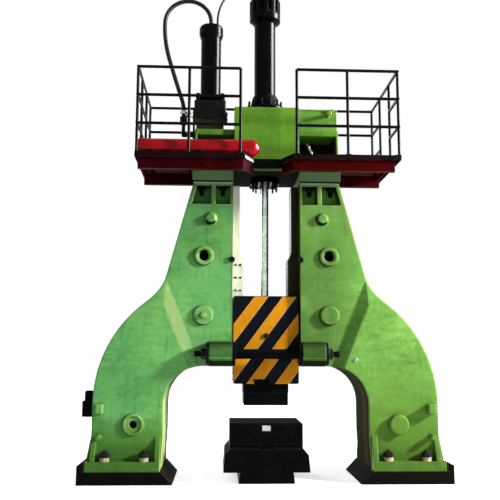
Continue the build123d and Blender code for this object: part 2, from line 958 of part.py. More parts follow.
def die_key():
    return box(
        -die_key_width / 2, die_key_width / 2, -lower_die_half_depth, -lower_die_half_depth + die_key_depth,
        die_key_z - die_key_height / 2, die_key_z + die_key_height / 2,
    )


def lower_die():
    body = block(lower_die_half_width, lower_die_half_depth, lower_die_bottom_z, lower_die_top_z)
    body = chamfer(body.faces().sort_by(Axis.Z)[-1].edges(), lower_die_edge)
    outline = shank_outline(lower_shank_center_x, lower_die_bottom_z, -1)
    shank = prism_y(outline, -lower_die_half_depth, lower_die_half_depth)
    return body + shank - lower_dowel() - die_key()


def lower_die_wedge():
    outline = wedge_outline(lower_shank_center_x, lower_die_bottom_z, -1)
    return prism_y(outline, -lower_die_half_depth, lower_die_half_depth)


def anvil_block():
    """A cross-shaped casting; its upper block carries the die, its narrow foot stands on the floor."""
    right = [
        (anvil_foot_half_width + anvil_foot_flare, 0),
        (anvil_foot_half_width, anvil_step_z),
        (anvil_half_width + anvil_flare, anvil_step_z),
        (anvil_half_width, anvil_shoulder_z),
        (lower_die_half_width, anvil_neck_z),
        (lower_die_half_width, lower_die_bottom_z),
    ]
    left = [(-x, z) for x, z in reversed(right)]
    body = prism_y(profile(right + left), -anvil_half_depth, anvil_half_depth)
    ledge = box(
        -anvil_half_width, anvil_half_width, -anvil_half_depth - 1, -lower_die_half_depth,
        anvil_neck_z, lower_die_bottom_z + 1,
    )
    for cutter in front_and_back(ledge):
        body = body - cutter
    slot = shank_outline(lower_shank_center_x, lower_die_bottom_z, -1, die_wedge_width)
    body = body - prism_y(slot, -anvil_half_depth - 1, anvil_half_depth + 1)
    return body - lower_dowel()


# Power head
def head_beam():
    """A cast block between two box-shaped wings, open at the front and the back."""
    shelf_low = shelf_top_z - shelf_thickness
    floor = head_floor_z + head_base
    depth = head_half_depth
    wing = [
        box(leg_inner_x, head_half_width, -depth, depth, leg_top_z, head_floor_z),
        box(block_half_width, head_half_width, -depth, depth, head_floor_z, floor),
        box(block_half_width, wing_half_width, -depth, depth, shelf_low, shelf_top_z),
        box(wing_half_width - head_end_wall, wing_half_width, -depth, depth, floor, shelf_low),
        box(block_half_width, wing_half_width, -head_web / 2, head_web / 2, floor, shelf_low),
    ]
    center = block(block_half_width, block_half_depth, head_floor_z, block_top_z)
    body = fuse([center] + [copy for piece in wing for copy in both_sides(piece)])
    body = body - rod_z(0, 0, tube_bottom_z, block_top_z + 1, tube_radius)
    body = body - rod_z(0, 0, head_floor_z - 1, tube_bottom_z + 1, gland_spigot_radius)
    for x, y in circle_places(gland_stud_count, gland_stud_circle):
        body = body - rod_z(x, y, head_floor_z - 1, floor, gland_stud_diameter / 2)
    for x, y in circle_places(base_bolt_count, base_bolt_circle):
        body = body - rod_z(x, y, base_bolt_low_z, block_top_z + 1, large_bolt_diameter / 2)
    radius = head_bolt_diameter / 2 + bolt_hole_gap
    for x in (head_bolt_inner_x, head_bolt_outer_x):
        for hole in four_corners(rod_z(x, -head_bolt_y, leg_top_z - 1, floor + 1, radius)):
            body = body - hole
    return body


def head_bolts():
    """Studs through the head's floor and the leg's top plate, with a nut at each end."""
    pieces = []
    plate_low = leg_top_z - pocket_top_plate
    floor = head_floor_z + head_base
    flats = 1.5 * head_bolt_diameter
    nut_height = 0.85 * head_bolt_diameter
    top = floor + 1.4 * head_bolt_diameter
    for x in (head_bolt_inner_x, head_bolt_outer_x):
        stud = rod_z(x, -head_bolt_y, plate_low - head_bolt_drop, top, head_bolt_diameter / 2)
        lower = hex_z(x, -head_bolt_y, plate_low - nut_height, plate_low, flats)
        upper = hex_z(x, -head_bolt_y, floor, floor + nut_height, flats)
        pieces += four_corners(stud + lower + upper)
    return group(pieces)


def oil_box():
    """A sheet-steel box with a bolted cover and a lifting lug."""
    outer = box(
        block_half_width, oil_box_outer_x, -oil_box_half_depth, oil_box_half_depth,
        shelf_top_z, oil_box_top_z - oil_box_cover_thickness,
    )
    inner = box(
        block_half_width + oil_box_wall, oil_box_outer_x - oil_box_wall,
        -oil_box_half_depth + oil_box_wall, oil_box_half_depth - oil_box_wall,
        shelf_top_z + oil_box_wall, oil_box_top_z,
    )
    return outer - inner


def oil_box_cover():
    """A flanged lid with a lifting lug at its outer front corner."""
    low = oil_box_top_z - oil_box_cover_thickness
    front = -oil_box_half_depth - oil_box_cover_overhang
    plate = box(
        block_half_width, oil_box_outer_x + oil_box_cover_overhang, front, -front, low, oil_box_top_z,
    )
    lug = box(
        oil_lug_x - oil_lug_width / 2, oil_lug_x + oil_lug_width / 2, front - oil_lug_length, front + 1,
        low - oil_lug_width / 2, oil_box_top_z,
    )
    return plate + lug


# Main cylinder, gland, piston
def cylinder_tube():
    flange_top = block_top_z + base_flange_thickness
    tube = turned([
        (bore_radius, tube_bottom_z),
        (tube_radius, tube_bottom_z),
        (tube_radius, block_top_z),
        (base_flange_radius, block_top_z),
        (base_flange_radius, flange_top),
        (tube_radius, flange_top),
        (tube_radius, tube_top_z),
        (bore_radius, tube_top_z),
    ])
    for x, y in circle_places(base_bolt_count, base_bolt_circle):
        tube = tube - rod_z(x, y, block_top_z - 1, flange_top + 1, large_bolt_diameter / 2 + bolt_hole_gap)
    return tube


def cylinder_clamp_ring():
    """A hub around the tube above its flange, narrower towards the top."""
    low = block_top_z + base_flange_thickness
    return turned([
        (tube_radius, low),
        (clamp_ring_radius, low),
        (clamp_ring_radius, low + clamp_ring_thickness),
        (tube_radius + 18, clamp_top_z),
        (tube_radius, clamp_top_z),
    ])


def bolts_on_circle(count, radius, low, seat, high, diameter, flats):
    """Studs from low to high with a nut on the seat."""
    pieces = []
    for x, y in circle_places(count, radius):
        stud = rod_z(x, y, low, high, diameter / 2)
        pieces.append(stud + hex_z(x, y, seat, seat + 0.8 * flats, flats))
    return pieces


def cylinder_bolts():
    """Studs that hold the tube's flange, and the cap bolts in their scallops."""
    pieces = bolts_on_circle(
        base_bolt_count, base_bolt_circle, base_bolt_low_z, block_top_z + base_flange_thickness,
        base_bolt_top_z, large_bolt_diameter, large_bolt_flats,
    )
    for x, y in circle_places(cap_bolt_count, cap_bolt_circle):
        pieces.append(hex_z(x, y, cap_seat_z, cap_seat_z + 0.8 * large_bolt_flats, large_bolt_flats))
    return group(pieces)


def cylinder_cap():
    """A cap over the tube's end: tapered below, scalloped round the rim for its bolts."""
    body = turned([
        (0, tube_top_z),
        (tube_radius, tube_top_z),
        (tube_radius, cap_bottom_z),
        (tube_radius + 12, cap_bottom_z),
        (cap_radius, cap_bottom_z + cap_taper),
        (cap_radius, cap_top_z - cap_taper / 2),
        (cap_radius - cap_taper / 2, cap_top_z),
        (0, cap_top_z),
    ])
    rim = cap_radius
    for x, y in circle_places(cap_bolt_count, cap_bolt_circle):
        body = body - rod_z(x, y, cap_seat_z, cap_top_z + 1, cap_scallop_radius)
        outer = Vector(x, y, 0) * (rim / cap_bolt_circle)
        body = body - rod_z(outer.X, outer.Y, cap_seat_z, cap_top_z + 1, cap_scallop_radius * 0.9)
    return body


def gland_housing():
    low = head_floor_z - gland_flange
    body = turned([
        (rod_radius + 4, low),
        (gland_radius, low),
        (gland_radius, head_floor_z),
        (gland_spigot_radius, head_floor_z),
        (gland_spigot_radius, tube_bottom_z),
        (rod_radius + bush_wall, tube_bottom_z),
        (rod_radius + bush_wall, low + gland_flange / 4),
        (rod_radius + 4, low + gland_flange / 4),
    ])
    for x, y in circle_places(gland_stud_count, gland_stud_circle):
        body = body - rod_z(x, y, low - 1, head_floor_z + 1, gland_stud_diameter / 2 + bolt_hole_gap)
    return body


def gland_studs():
    low = head_floor_z - gland_flange
    pieces = []
    for x, y in circle_places(gland_stud_count, gland_stud_circle):
        stud = rod_z(x, y, low - gland_stud_drop, head_floor_z + head_base, gland_stud_diameter / 2)
        nut = hex_z(x, y, low - 0.9 * gland_stud_diameter, low, 1.5 * gland_stud_diameter)
        pieces.append(stud + nut)
    return group(pieces)


def gland_bush():
    low = head_floor_z - gland_flange * 0.75 + seal_height
    return turned([
        (rod_radius + running_clearance, low),
        (rod_radius + bush_wall, low),
        (rod_radius + bush_wall, tube_bottom_z),
        (rod_radius + running_clearance, tube_bottom_z),
    ])


def gland_seals():
    """A stack of packing rings below the bush."""
    low = head_floor_z - gland_flange * 0.75
    count = 4
    height = seal_height / count
    rings = []
    for index in range(count):
        bottom = low + index * height
        rings.append(turned([
            (rod_radius + running_clearance, bottom),
            (rod_radius + bush_wall, bottom),
            (rod_radius + bush_wall, bottom + height),
            (rod_radius + running_clearance, bottom + height),
        ]))
    return group(rings)


def piston_rod():
    top = piston_bottom_z + piston_height + piston_nut_height + 10
    return turned([
        (0, ram_top_z - taper_length),
        (rod_radius - taper_shrink, ram_top_z - taper_length),
        (rod_radius, ram_top_z),
        (rod_radius, piston_bottom_z),
        (rod_thread_radius, piston_bottom_z),
        (rod_thread_radius, top),
        (0, top),
    ])


def piston_ring_places():
    count = 4
    pitch = piston_height / (count + 1)
    return [piston_bottom_z + pitch * (index + 1) - ring_height / 2 for index in range(count)]


def piston():
    body = turned([
        (rod_thread_radius, piston_bottom_z),
        (bore_radius - piston_clearance, piston_bottom_z),
        (bore_radius - piston_clearance, piston_bottom_z + piston_height),
        (rod_thread_radius, piston_bottom_z + piston_height),
    ])
    for low in piston_ring_places():
        body = body - ring_solid(low)
    return body


def ring_solid(low):
    return turned([
        (bore_radius - ring_depth, low),
        (bore_radius - running_clearance, low),
        (bore_radius - running_clearance, low + ring_height),
        (bore_radius - ring_depth, low + ring_height),
    ])


def piston_rings():
    return group([ring_solid(low) for low in piston_ring_places()])


def piston_nut():
    low = piston_bottom_z + piston_height
    nut = hex_z(0, 0, low, low + piston_nut_height, 3.1 * rod_thread_radius)
    return nut - rod_z(0, 0, low - 1, low + piston_nut_height + 1, rod_thread_radius)


# Accumulator and valve gear on the left wing
def valve_block():
    """The valve block, with a narrower distributor plate that seats it on the head's wing."""
    body = box(
        accumulator_x - valve_block_half_width, accumulator_x + valve_block_half_width,
        accumulator_y - valve_block_half_depth, accumulator_y + valve_block_half_depth,
        valve_block_low_z, valve_block_top_z,
    )
    body = chamfer(body.edges().filter_by(Axis.Z), 12)
    plate = box(
        accumulator_x - valve_plate_half_width, accumulator_x + valve_plate_half_width,
        accumulator_y - valve_plate_half_depth, accumulator_y + valve_plate_half_depth,
        shelf_top_z, valve_block_low_z + 1,
    )
    bore_low = accumulator_x - valve_block_half_width - 1
    bore_high = accumulator_x + valve_block_half_width + 1
    return body + plate - rod_x(bore_low, bore_high, accumulator_y, spool_z, spool_radius + running_clearance)


def control_spool():
    """A spool with three lands; its stem comes out through the left end cover."""
    half = valve_block_half_width - spool_travel - 5
    spool = rod_x(accumulator_x - half, accumulator_x + half, accumulator_y, spool_z, spool_waist_radius)
    land = half / 3.5
    for center in (-half + land / 2, 0, half - land / 2):
        x = accumulator_x + center
        spool = spool + rod_x(x - land / 2, x + land / 2, accumulator_y, spool_z, spool_radius)
    stem_end = accumulator_x - valve_block_half_width - valve_cover_thickness - 1.5 * spool_travel
    return spool + rod_x(stem_end, accumulator_x, accumulator_y, spool_z, spool_stem_radius)


def valve_covers():
    """Bolted covers on the ends of the spool's bore; the left one passes the stem."""
    size = valve_cover_half
    covers = []
    for side in (-1, 1):
        face = accumulator_x + side * valve_block_half_width
        outer = face + side * valve_cover_thickness
        cover = box(
            min(face, outer), max(face, outer), accumulator_y - size, accumulator_y + size,
            spool_z - size, spool_z + size,
        )
        head = outer + side * valve_screw_height
        for sign_y in (-1, 1):
            for sign_z in (-1, 1):
                place = (accumulator_y + sign_y * 0.72 * size, spool_z + sign_z * 0.72 * size)
                cover = cover + hex_x(min(outer, head), max(outer, head), *place, valve_screw_flats)
        if side < 0:
            cover = cover - rod_x(outer - 1, face + 1, accumulator_y, spool_z, spool_stem_radius + running_clearance)
        covers.append(cover)
    return group(covers)


def accumulator_tube():
    """A tube closed at the bottom, on a short stand and a bolted flange."""
    flange_low = valve_block_top_z + accumulator_stand
    flange_top = flange_low + accumulator_flange
    tube = turned([
        (0, valve_block_top_z),
        (accumulator_stand_radius, valve_block_top_z),
        (accumulator_stand_radius, flange_top),
        (accumulator_radius, flange_top),
        (accumulator_radius, accumulator_top_z),
        (accumulator_bore, accumulator_top_z),
        (accumulator_bore, flange_top),
        (0, flange_top),
    ], accumulator_x, accumulator_y)
    tube = tube + box(
        accumulator_x - accumulator_flange_half_width, accumulator_x + accumulator_flange_half_width,
        accumulator_y - accumulator_flange_half_depth, accumulator_y + accumulator_flange_half_depth,
        flange_low, flange_top,
    )
    radius = large_bolt_diameter / 2 + bolt_hole_gap
    for x, y in accumulator_bolt_places():
        tube = tube - rod_z(x, y, flange_low - 1, flange_top + 1, radius)
    return tube


def accumulator_bolt_places():
    for sign_x in (-1, 1):
        for sign_y in (-1, 1):
            yield accumulator_x + sign_x * accumulator_bolt_half_x, accumulator_y + sign_y * accumulator_bolt_half_y


def accumulator_bolts():
    """Four studs under the tube, with nuts on both sides of its flange, and the cap's bolts."""
    flange_low = valve_block_top_z + accumulator_stand
    flange_top = flange_low + accumulator_flange
    pieces = []
    for x, y in accumulator_bolt_places():
        stud = rod_z(x, y, valve_block_top_z, flange_top + large_bolt_diameter, large_bolt_diameter / 2)
        nut = hex_z(x, y, flange_top, flange_top + 0.6 * large_bolt_flats, large_bolt_flats)
        pieces.append(stud + nut)
    top = accumulator_cap_top_z
    for x, y in circle_places(accumulator_bolt_count, accumulator_bolt_circle, accumulator_x, accumulator_y):
        pieces.append(hex_z(x, y, top, top + accumulator_screw_height, accumulator_screw_flats))
    return group(pieces)


def accumulator_cap():
    """A screwed cap, tapered below and rounded at its upper rim."""
    rim = accumulator_cap_radius
    top = accumulator_cap_top_z
    return turned([
        (0, accumulator_top_z),
        (accumulator_radius, accumulator_top_z),
        (accumulator_radius, accumulator_cap_low_z),
        (accumulator_radius + 8, accumulator_cap_low_z),
        (rim, accumulator_cap_low_z + accumulator_cap_taper),
        (rim, top - accumulator_cap_round),
        (rim - 0.3 * accumulator_cap_round, top - 0.3 * accumulator_cap_round),
        (rim - accumulator_cap_round, top),
        (0, top),
    ], accumulator_x, accumulator_y)


def accumulator_piston():
    body = rod_z(
        accumulator_x, accumulator_y, accumulator_piston_z, accumulator_piston_z + accumulator_piston_height,
        accumulator_bore - running_clearance,
    )
    hollow = rod_z(
        accumulator_x, accumulator_y, accumulator_piston_z + accumulator_piston_height / 3,
        accumulator_piston_z + accumulator_piston_height + 1, accumulator_bore * 0.75,
    )
    return body - hollow


# Platform and railings
def deck_plan():
    """One half of the walkway, cut round the head."""
    wing_x = head_half_width + deck_gap
    wing_y = head_half_depth + deck_gap
    center_x = block_half_width + deck_gap
    center_y = block_half_depth + deck_gap
    return profile([
        (deck_outer_x, -deck_half_depth),
        (deck_outer_x, deck_back_y),
        (deck_corner_x, deck_back_y),
        (deck_corner_x, center_y),
        (center_x, center_y),
        (center_x, wing_y),
        (wing_x, wing_y),
        (wing_x, -wing_y),
        (center_x, -wing_y),
        (center_x, -center_y),
        (deck_corner_x, -center_y),
        (deck_corner_x, -deck_corner_y),
        (deck_inner_x, -deck_half_depth),
    ])


def beam_channel(x_low, x_high, web_y, flange_y, low, high):
    """A channel along X: a web at web_y with flanges that reach to flange_y."""
    web = box(x_low, x_high, web_y, web_y + beam_web, low, high)
    for z in (low, high - beam_web):
        web = web + box(x_low, x_high, min(web_y, flange_y), max(web_y + beam_web, flange_y), z, z + beam_web)
    return web


def platform_frame(side, front_end_x, middle_end_x):
    """Front channel with its slanted end, middle beam, cross bars and rear brackets under one deck."""
    front_y = -deck_half_depth + beam_inset
    low = beam_top_z - beam_height
    start_x = deck_inner_x + beam_web
    slant_y = -deck_corner_y + beam_inset
    slant = prism_z(profile([
        (start_x, front_y),
        (start_x, front_y + beam_web),
        (deck_corner_x + beam_web, slant_y + beam_web),
        (deck_corner_x, slant_y),
    ]), low, beam_top_z)
    flange_y = beam_web / 2 + beam_flange
    middle_low = beam_top_z - middle_beam_height
    pieces = [
        beam_channel(start_x, front_end_x, front_y, front_y + beam_flange, low, beam_top_z),
        slant,
        beam_channel(head_half_width, middle_end_x, -beam_web / 2, flange_y, middle_low, beam_top_z),
    ]
    cross_low = beam_top_z - cross_angle
    plate_low = deck_top_z - deck_plate
    bracket = profile([
        (flange_y, cross_low),
        (deck_back_y - deck_plate, plate_low - beam_web),
        (deck_back_y - deck_plate, plate_low),
        (flange_y, plate_low),
    ])
    for x in (head_half_width + beam_web, middle_end_x - 2 * beam_web):
        pieces.append(box(x, x + beam_web, front_y + beam_flange, -beam_web / 2, cross_low, beam_top_z))
        pieces.append(prism_x(bracket, x, x + beam_web))
    return [on_side(piece, side) for piece in pieces]


def deck(side):
    """A plate with its front, slanted and outer edges folded down."""
    low = deck_top_z - deck_edge
    plate_low = deck_top_z - deck_plate
    plate = prism_z(deck_plan(), plate_low, deck_top_z)
    lip = prism_z(profile([
        (deck_outer_x, -deck_half_depth),
        (deck_outer_x, deck_lip_back_y),
        (deck_outer_x - deck_plate, deck_lip_back_y),
        (deck_outer_x - deck_plate, -deck_half_depth + deck_plate),
        (deck_inner_x + deck_plate / 2, -deck_half_depth + deck_plate),
        (deck_corner_x + deck_plate, -deck_corner_y),
        (deck_corner_x, -deck_corner_y),
        (deck_inner_x, -deck_half_depth),
    ]), low, plate_low + 1)
    return on_side(plate + lip, side)


def platform_frames():
    left = platform_frame(-1, front_channel_ends[0], middle_beam_ends[0])
    right = platform_frame(1, front_channel_ends[1], middle_beam_ends[1])
    return group(left + right + platform_posts())


def platform_posts():
    """Packers between the beams and the deck plates."""
    pieces = []
    front_y = -deck_half_depth + beam_inset
    top = deck_top_z - deck_plate
    for x in packer_places:
        for y in (front_y + beam_flange / 2, beam_flange / 2):
            half = beam_flange / 2 - beam_web
            if y > 0 and x < head_half_width:
                continue
            pieces += both_sides(box(x - half, x + half, y - half, y + half, beam_top_z, top))
    return pieces


def platform_bridges():
    """Short black channels under both decks' inner ends, in front of and behind the head."""
    top = deck_top_z - deck_plate
    low = top - bridge_height
    half = deck_corner_x
    wide = deck_corner_x + bridge_overlap
    web = box(-half, half, -deck_corner_y, -deck_corner_y + beam_web, low, top)
    foot = box(-half, half, -deck_corner_y, -deck_corner_y + beam_flange, low, low + beam_web)
    seat = box(-wide, wide, -deck_corner_y + beam_web, -block_half_depth - deck_gap, top - beam_web, top)
    return group(front_and_back(web + foot + seat))


def railing(side):
    """Posts and three rails round the front, the outer side and the back of one deck."""
    heights = [deck_top_z + height for height in rail_heights]
    top = heights[-1]
    corners = [
        (rail_inner_x, -rail_front_y), (rail_post_x, -rail_front_y),
        (rail_post_x, rail_back_y), (rail_inner_x, rail_back_y),
    ]
    between = [
        (rail_middle_post_x, -rail_front_y), (rail_middle_post_x, rail_back_y),
        (rail_post_x, gate_front_y), (rail_post_x, gate_back_y),
    ]
    frame = None
    for height in heights:
        open_gate = side > 0 and height < top
        loop = rail_loop(corners, height, open_gate)
        frame = loop if frame is None else frame + loop
    for x, y in corners + between:
        frame = frame + rod_z(x, y, deck_top_z, top - 1, rail_radius * 0.98)
        pad_x = min(x, deck_outer_x - post_pad / 2)
        frame = frame + box(
            pad_x - post_pad / 2, pad_x + post_pad / 2, y - post_pad_depth / 2, y + post_pad_depth / 2,
            deck_top_z, deck_top_z + post_pad_thickness,
        )
    return on_side(frame, side)


def rail_loop(corners, height, open_gate):
    """One rail bent round the corners; with the gate open it stops at the two gate posts."""
    places = [(x, y, height) for x, y in corners]
    if not open_gate:
        return bent_bar(places)
    front = places[:2] + [(rail_post_x, gate_front_y, height)]
    back = [(rail_post_x, gate_back_y, height)] + places[2:]
    return bent_bar(front) + bent_bar(back)


def bent_bar(places):
    """A round bar along straight runs with mitred corners."""
    path = Polyline(*places)
    start = Plane(origin=places[0], z_dir=path % 0)
    return sweep(start * Circle(rail_radius), path=path, transition=Transition.RIGHT)


# Gas bottle
def gas_bottle():
    """A seamless bottle lying on its cradles: flat foot on the left, domed end on the right."""
    length = bottle_right_x - bottle_left_x
    straight = length - bottle_dome
    dome = [(bottle_radius * math.cos(math.radians(a)), straight + bottle_dome * math.sin(math.radians(a)))
            for a in (0, 30, 60, 90)]
    line = Polyline((0, 0), (bottle_radius - 10, 0), (bottle_radius, 10), dome[0])
    arc = Spline(dome[0], dome[1], dome[2], dome[3], tangents=((0, 1), (-1, 0)))
    close = Line(dome[3], (0, 0))
    face = make_face(line + arc + close)
    body = revolve(Plane.XZ * face, Axis.Z)
    return Pos(bottle_left_x, bottle_axis_y, bottle_axis_z) * Rot(0, 90, 0) * body


def bottle_cradles():
    pieces = []
    for x in cradle_places:
        cradle = box(
            x - cradle_width / 2, x + cradle_width / 2,
            bottle_axis_y - cradle_half_span, bottle_axis_y + cradle_half_span,
            deck_top_z, deck_top_z + cradle_height,
        )
        cradle = cradle - rod_x(x - cradle_width, x + cradle_width, bottle_axis_y, bottle_axis_z, bottle_radius)
        pieces.append(cradle)
    return group(pieces)


# Shut-off valve and hoses
def shutoff_valve():
    """A ball valve on an elbow pipe that comes out of the head's left wing."""
    low = valve_body_z - valve_body_half_height
    high = valve_body_z + valve_body_half_height
    elbow_z = shelf_top_z - shelf_thickness / 2
    wall_x = -wing_half_width
    body = rod_z(valve_x, valve_y, low, high, valve_body_radius)
    body = body + rod_z(valve_x, valve_y, elbow_z, valve_top_z, valve_neck_radius)
    body = body + Pos(valve_x, valve_y, elbow_z) * Sphere(valve_neck_radius)
    body = body + rod_x(valve_x, wall_x, valve_y, elbow_z, valve_neck_radius)
    body = body + rod_x(wall_x - 16, wall_x, valve_y, elbow_z, 1.7 * valve_neck_radius)
    stem = rod_y(valve_x, valve_y - valve_body_radius - lever_offset, valve_y, valve_body_z, lever_stem_radius)
    return body + stem


def valve_lever():
    """A flat handle on the valve's front stem, turned up to the right."""
    face_y = valve_y - valve_body_radius - lever_offset
    hub = rod_y(valve_x, face_y - lever_thickness, face_y, valve_body_z, 1.6 * lever_stem_radius)
    arm = box(0, lever_length, face_y - lever_thickness, face_y, -lever_width / 2, lever_width / 2)
    return hub + Pos(valve_x, 0, valve_body_z) * Rot(0, -lever_rest_angle, 0) * arm


def hose(points, diameter):
    """A round tube along straight runs, with an arc at each corner as large as its runs allow."""
    places = [Vector(*point) for point in points]
    runs = [end - start for start, end in zip(places, places[1:])]
    radii = []
    for before, after in zip(runs, runs[1:]):
        turn = math.radians(before.get_angle(after))
        radii.append(0.45 * min(before.length, after.length) / math.tan(turn / 2))
    print("bend radii in diameters", [round(radius / diameter, 1) for radius in radii])
    print("runs in diameters", [round(run.length / diameter, 1) for run in runs])
    path = FilletPolyline(*places, radius=radii)
    start = Plane(origin=path @ 0, z_dir=path % 0)
    tube = sweep(start * Circle(diameter / 2), path=path)
    expected = path.length * math.pi * diameter ** 2 / 4
    print("length", round(path.length), "volume ratio", round(tube.volume / expected, 4))
    return tube


# Route points of the hoses, from the accumulator's cap to their far ends
thick_hose_points = [
    (accumulator_x, accumulator_y, accumulator_cap_top_z),
    (accumulator_x, accumulator_y, accumulator_cap_top_z + 120),
    (-785, -219, 6134), (-873, -217, 6222), (-987, -215, 6269), (-1111, -213, 6269), (-1225, -212, 6222),
    (-1313, -212, 6134), (-1360, -213, 6020), (-1364, -214, 5895), (-1358, -215, 5765), (-1340, -217, 5625),
    (-1306, -218, 5475), (-1265, -219, 5340), (-1223, -220, 5203), (-1180, -220, 5065), (-1136, -220, 4930),
    (-1105, -220, 4840),
    (valve_x, valve_y, valve_top_z + 84),
    (valve_x, valve_y, valve_top_z),
]
thin_hose_points = [
    (accumulator_x + thin_hose_offset, accumulator_y, accumulator_cap_top_z),
    (accumulator_x + thin_hose_offset, accumulator_y, accumulator_cap_top_z + 90),
    (-648, -218, 6084), (-627, -211, 6177), (-593, -200, 6267), (-546, -184, 6352), (-487, -165, 6430),
    (-418, -141, 6498), (-341, -115, 6554), (-257, -86, 6600), (-171, -57, 6621), (-95, -32, 6601),
    (-34, -11, 6549),
    (0, 0, cap_top_z + 75),
    (0, 0, cap_top_z),
]


def hose_fittings():
    """A hexagon and a ferrule at each end of each hose."""
    pieces = []
    ends = [
        (thick_hose_points, 0, thick_hose_diameter), (thick_hose_points, -1, thick_hose_diameter),
        (thin_hose_points, 0, thin_hose_diameter), (thin_hose_points, -1, thin_hose_diameter),
    ]
    for points, end, diameter in ends:
        place = Vector(*points[end])
        step = Vector(*points[1 if end == 0 else -2]) - place
        seat = Plane(origin=place, z_dir=step.normalized())
        nut = extrude(seat * hexagon(1.5 * diameter), 0.6 * diameter)
        ferrule = extrude(seat * Circle(0.64 * diameter), 0.8 * diameter)
        pieces.append(nut + ferrule - extrude(seat * Circle(diameter / 2), 2 * diameter))
    return group(pieces)


def supply_flange():
    """The pressure supply port at the back of the head: a pipe with a square bolted flange."""
    face_y = deck_half_depth
    pipe = rod_y(supply_x, block_half_depth, face_y, supply_z, supply_pipe_radius)
    half = supply_flange_size / 2
    flange = box(
        supply_x - half, supply_x + half, face_y - supply_flange_thickness, face_y,
        supply_z - half, supply_z + half,
    )
    body = pipe + flange - rod_y(supply_x, face_y - supply_bore_depth, face_y + 1, supply_z, supply_bore_radius)
    reach = supply_bolt_spacing / 2
    for sign_x in (-1, 1):
        for sign_z in (-1, 1):
            body = body - rod_y(
                supply_x + sign_x * reach, face_y - supply_flange_thickness - 1, face_y + 1,
                supply_z + sign_z * reach, supply_bolt_hole_radius,
            )
    return body


# Junction box on the left leg
def junction_box():
    """A box with a bolted cover on the leg's outer face and a round cable gland on top."""
    x = -shoulder_x
    body = box(x - box_depth, x, box_front_y + box_cover_thickness, box_back_y, box_low_z, box_high_z)
    center_x = x - box_depth / 2
    center_y = (box_front_y + box_back_y) / 2
    dome = rod_z(center_x, center_y, box_high_z, gland_dome_top_z, gland_dome_radius)
    dome = fillet(dome.edges().sort_by(Axis.Z)[-1], gland_dome_radius / 2)
    cover = box(
        x - box_depth + box_cover_inset, x - box_cover_inset, box_front_y,
        box_front_y + box_cover_thickness, box_low_z + box_cover_inset, box_high_z - box_cover_inset,
    )
    return group([body + dome, cover])


def save(name, piece):
    export_step(piece, f"parts/{name}.step")


def main():
    os.makedirs("parts", exist_ok=True)
    save("left_leg", leg(-1))
    save("right_leg", leg(1))
    save("left_sole_plate", sole_plate(-1))
    save("right_sole_plate", sole_plate(1))
    save("foundation_bolts", foundation_bolts())
    save("tie_rods", tie_rods())
    save("tie_rod_spacers", tie_rod_spacers())
    save("tie_rod_nuts", tie_rod_nuts())
    save("left_guide", guide(-1))
    save("right_guide", guide(1))
    save("guide_clamps", guide_clamps())
    save("guide_liners", guide_liners())
    save("guide_screws", guide_screws())
    save("ram_block", ram_block())
    save("ram_plug", ram_plug())
    save("rod_taper_sleeve", rod_taper_sleeve())
    save("upper_die", upper_die())
    save("upper_die_keys", group([upper_die_wedge(), upper_die_dowel()]))
    save("anvil_block", anvil_block())
    save("lower_die", lower_die())
    save("lower_die_wedge", lower_die_wedge())
    save("lower_die_keys", group([lower_dowel(), die_key()]))
    save("head_beam", head_beam())
    save("head_bolts", head_bolts())
    save("oil_box", oil_box())
    save("oil_box_cover", oil_box_cover())
    save("cylinder_tube", cylinder_tube())
    save("cylinder_clamp_ring", cylinder_clamp_ring())
    save("cylinder_bolts", cylinder_bolts())
    save("cylinder_cap", cylinder_cap())
    save("gland_housing", gland_housing())
    save("gland_studs", gland_studs())
    save("gland_bush", gland_bush())
    save("gland_seals", gland_seals())
    save("piston_rod", piston_rod())
    save("piston", piston())
    save("piston_rings", piston_rings())
    save("piston_nut", piston_nut())
    save("valve_block", valve_block())
    save("valve_covers", valve_covers())
    save("control_spool", control_spool())
    save("accumulator_tube", accumulator_tube())
    save("accumulator_cap", accumulator_cap())
    save("accumulator_bolts", accumulator_bolts())
    save("accumulator_piston", accumulator_piston())
    save("left_deck", deck(-1))
    save("right_deck", deck(1))
    save("platform_frames", platform_frames())
    save("platform_bridges", platform_bridges())
    save("left_railing", railing(-1))
    save("right_railing", railing(1))
    save("gas_bottle", gas_bottle())
    save("bottle_cradles", bottle_cradles())
    save("shutoff_valve", shutoff_valve())
    save("valve_lever", valve_lever())
    save("thick_hose", hose(thick_hose_points, thick_hose_diameter))
    save("thin_hose", hose(thin_hose_points, thin_hose_diameter))
    save("hose_fittings", hose_fittings())
    save("junction_box", junction_box())
    save("supply_flange", supply_flange())


main()
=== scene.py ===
import math

import bmesh
import bpy
from mathutils import Matrix, Vector


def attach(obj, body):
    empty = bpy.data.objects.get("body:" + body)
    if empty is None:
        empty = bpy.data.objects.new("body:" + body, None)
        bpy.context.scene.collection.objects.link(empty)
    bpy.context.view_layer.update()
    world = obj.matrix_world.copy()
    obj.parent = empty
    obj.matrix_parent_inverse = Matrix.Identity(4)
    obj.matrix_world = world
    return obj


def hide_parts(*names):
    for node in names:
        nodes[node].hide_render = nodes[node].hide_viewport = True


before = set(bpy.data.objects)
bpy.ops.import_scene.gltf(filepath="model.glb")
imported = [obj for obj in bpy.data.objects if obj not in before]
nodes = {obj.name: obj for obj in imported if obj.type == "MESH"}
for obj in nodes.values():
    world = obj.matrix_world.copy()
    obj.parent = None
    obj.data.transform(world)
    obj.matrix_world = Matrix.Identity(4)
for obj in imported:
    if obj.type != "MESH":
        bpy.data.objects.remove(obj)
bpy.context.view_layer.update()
scene = bpy.context.scene


# All lengths are in metres: X to the right, Y to the back, Z up from the floor

# Camera: a standing viewer's height, tilted up a little, from just left of the middle

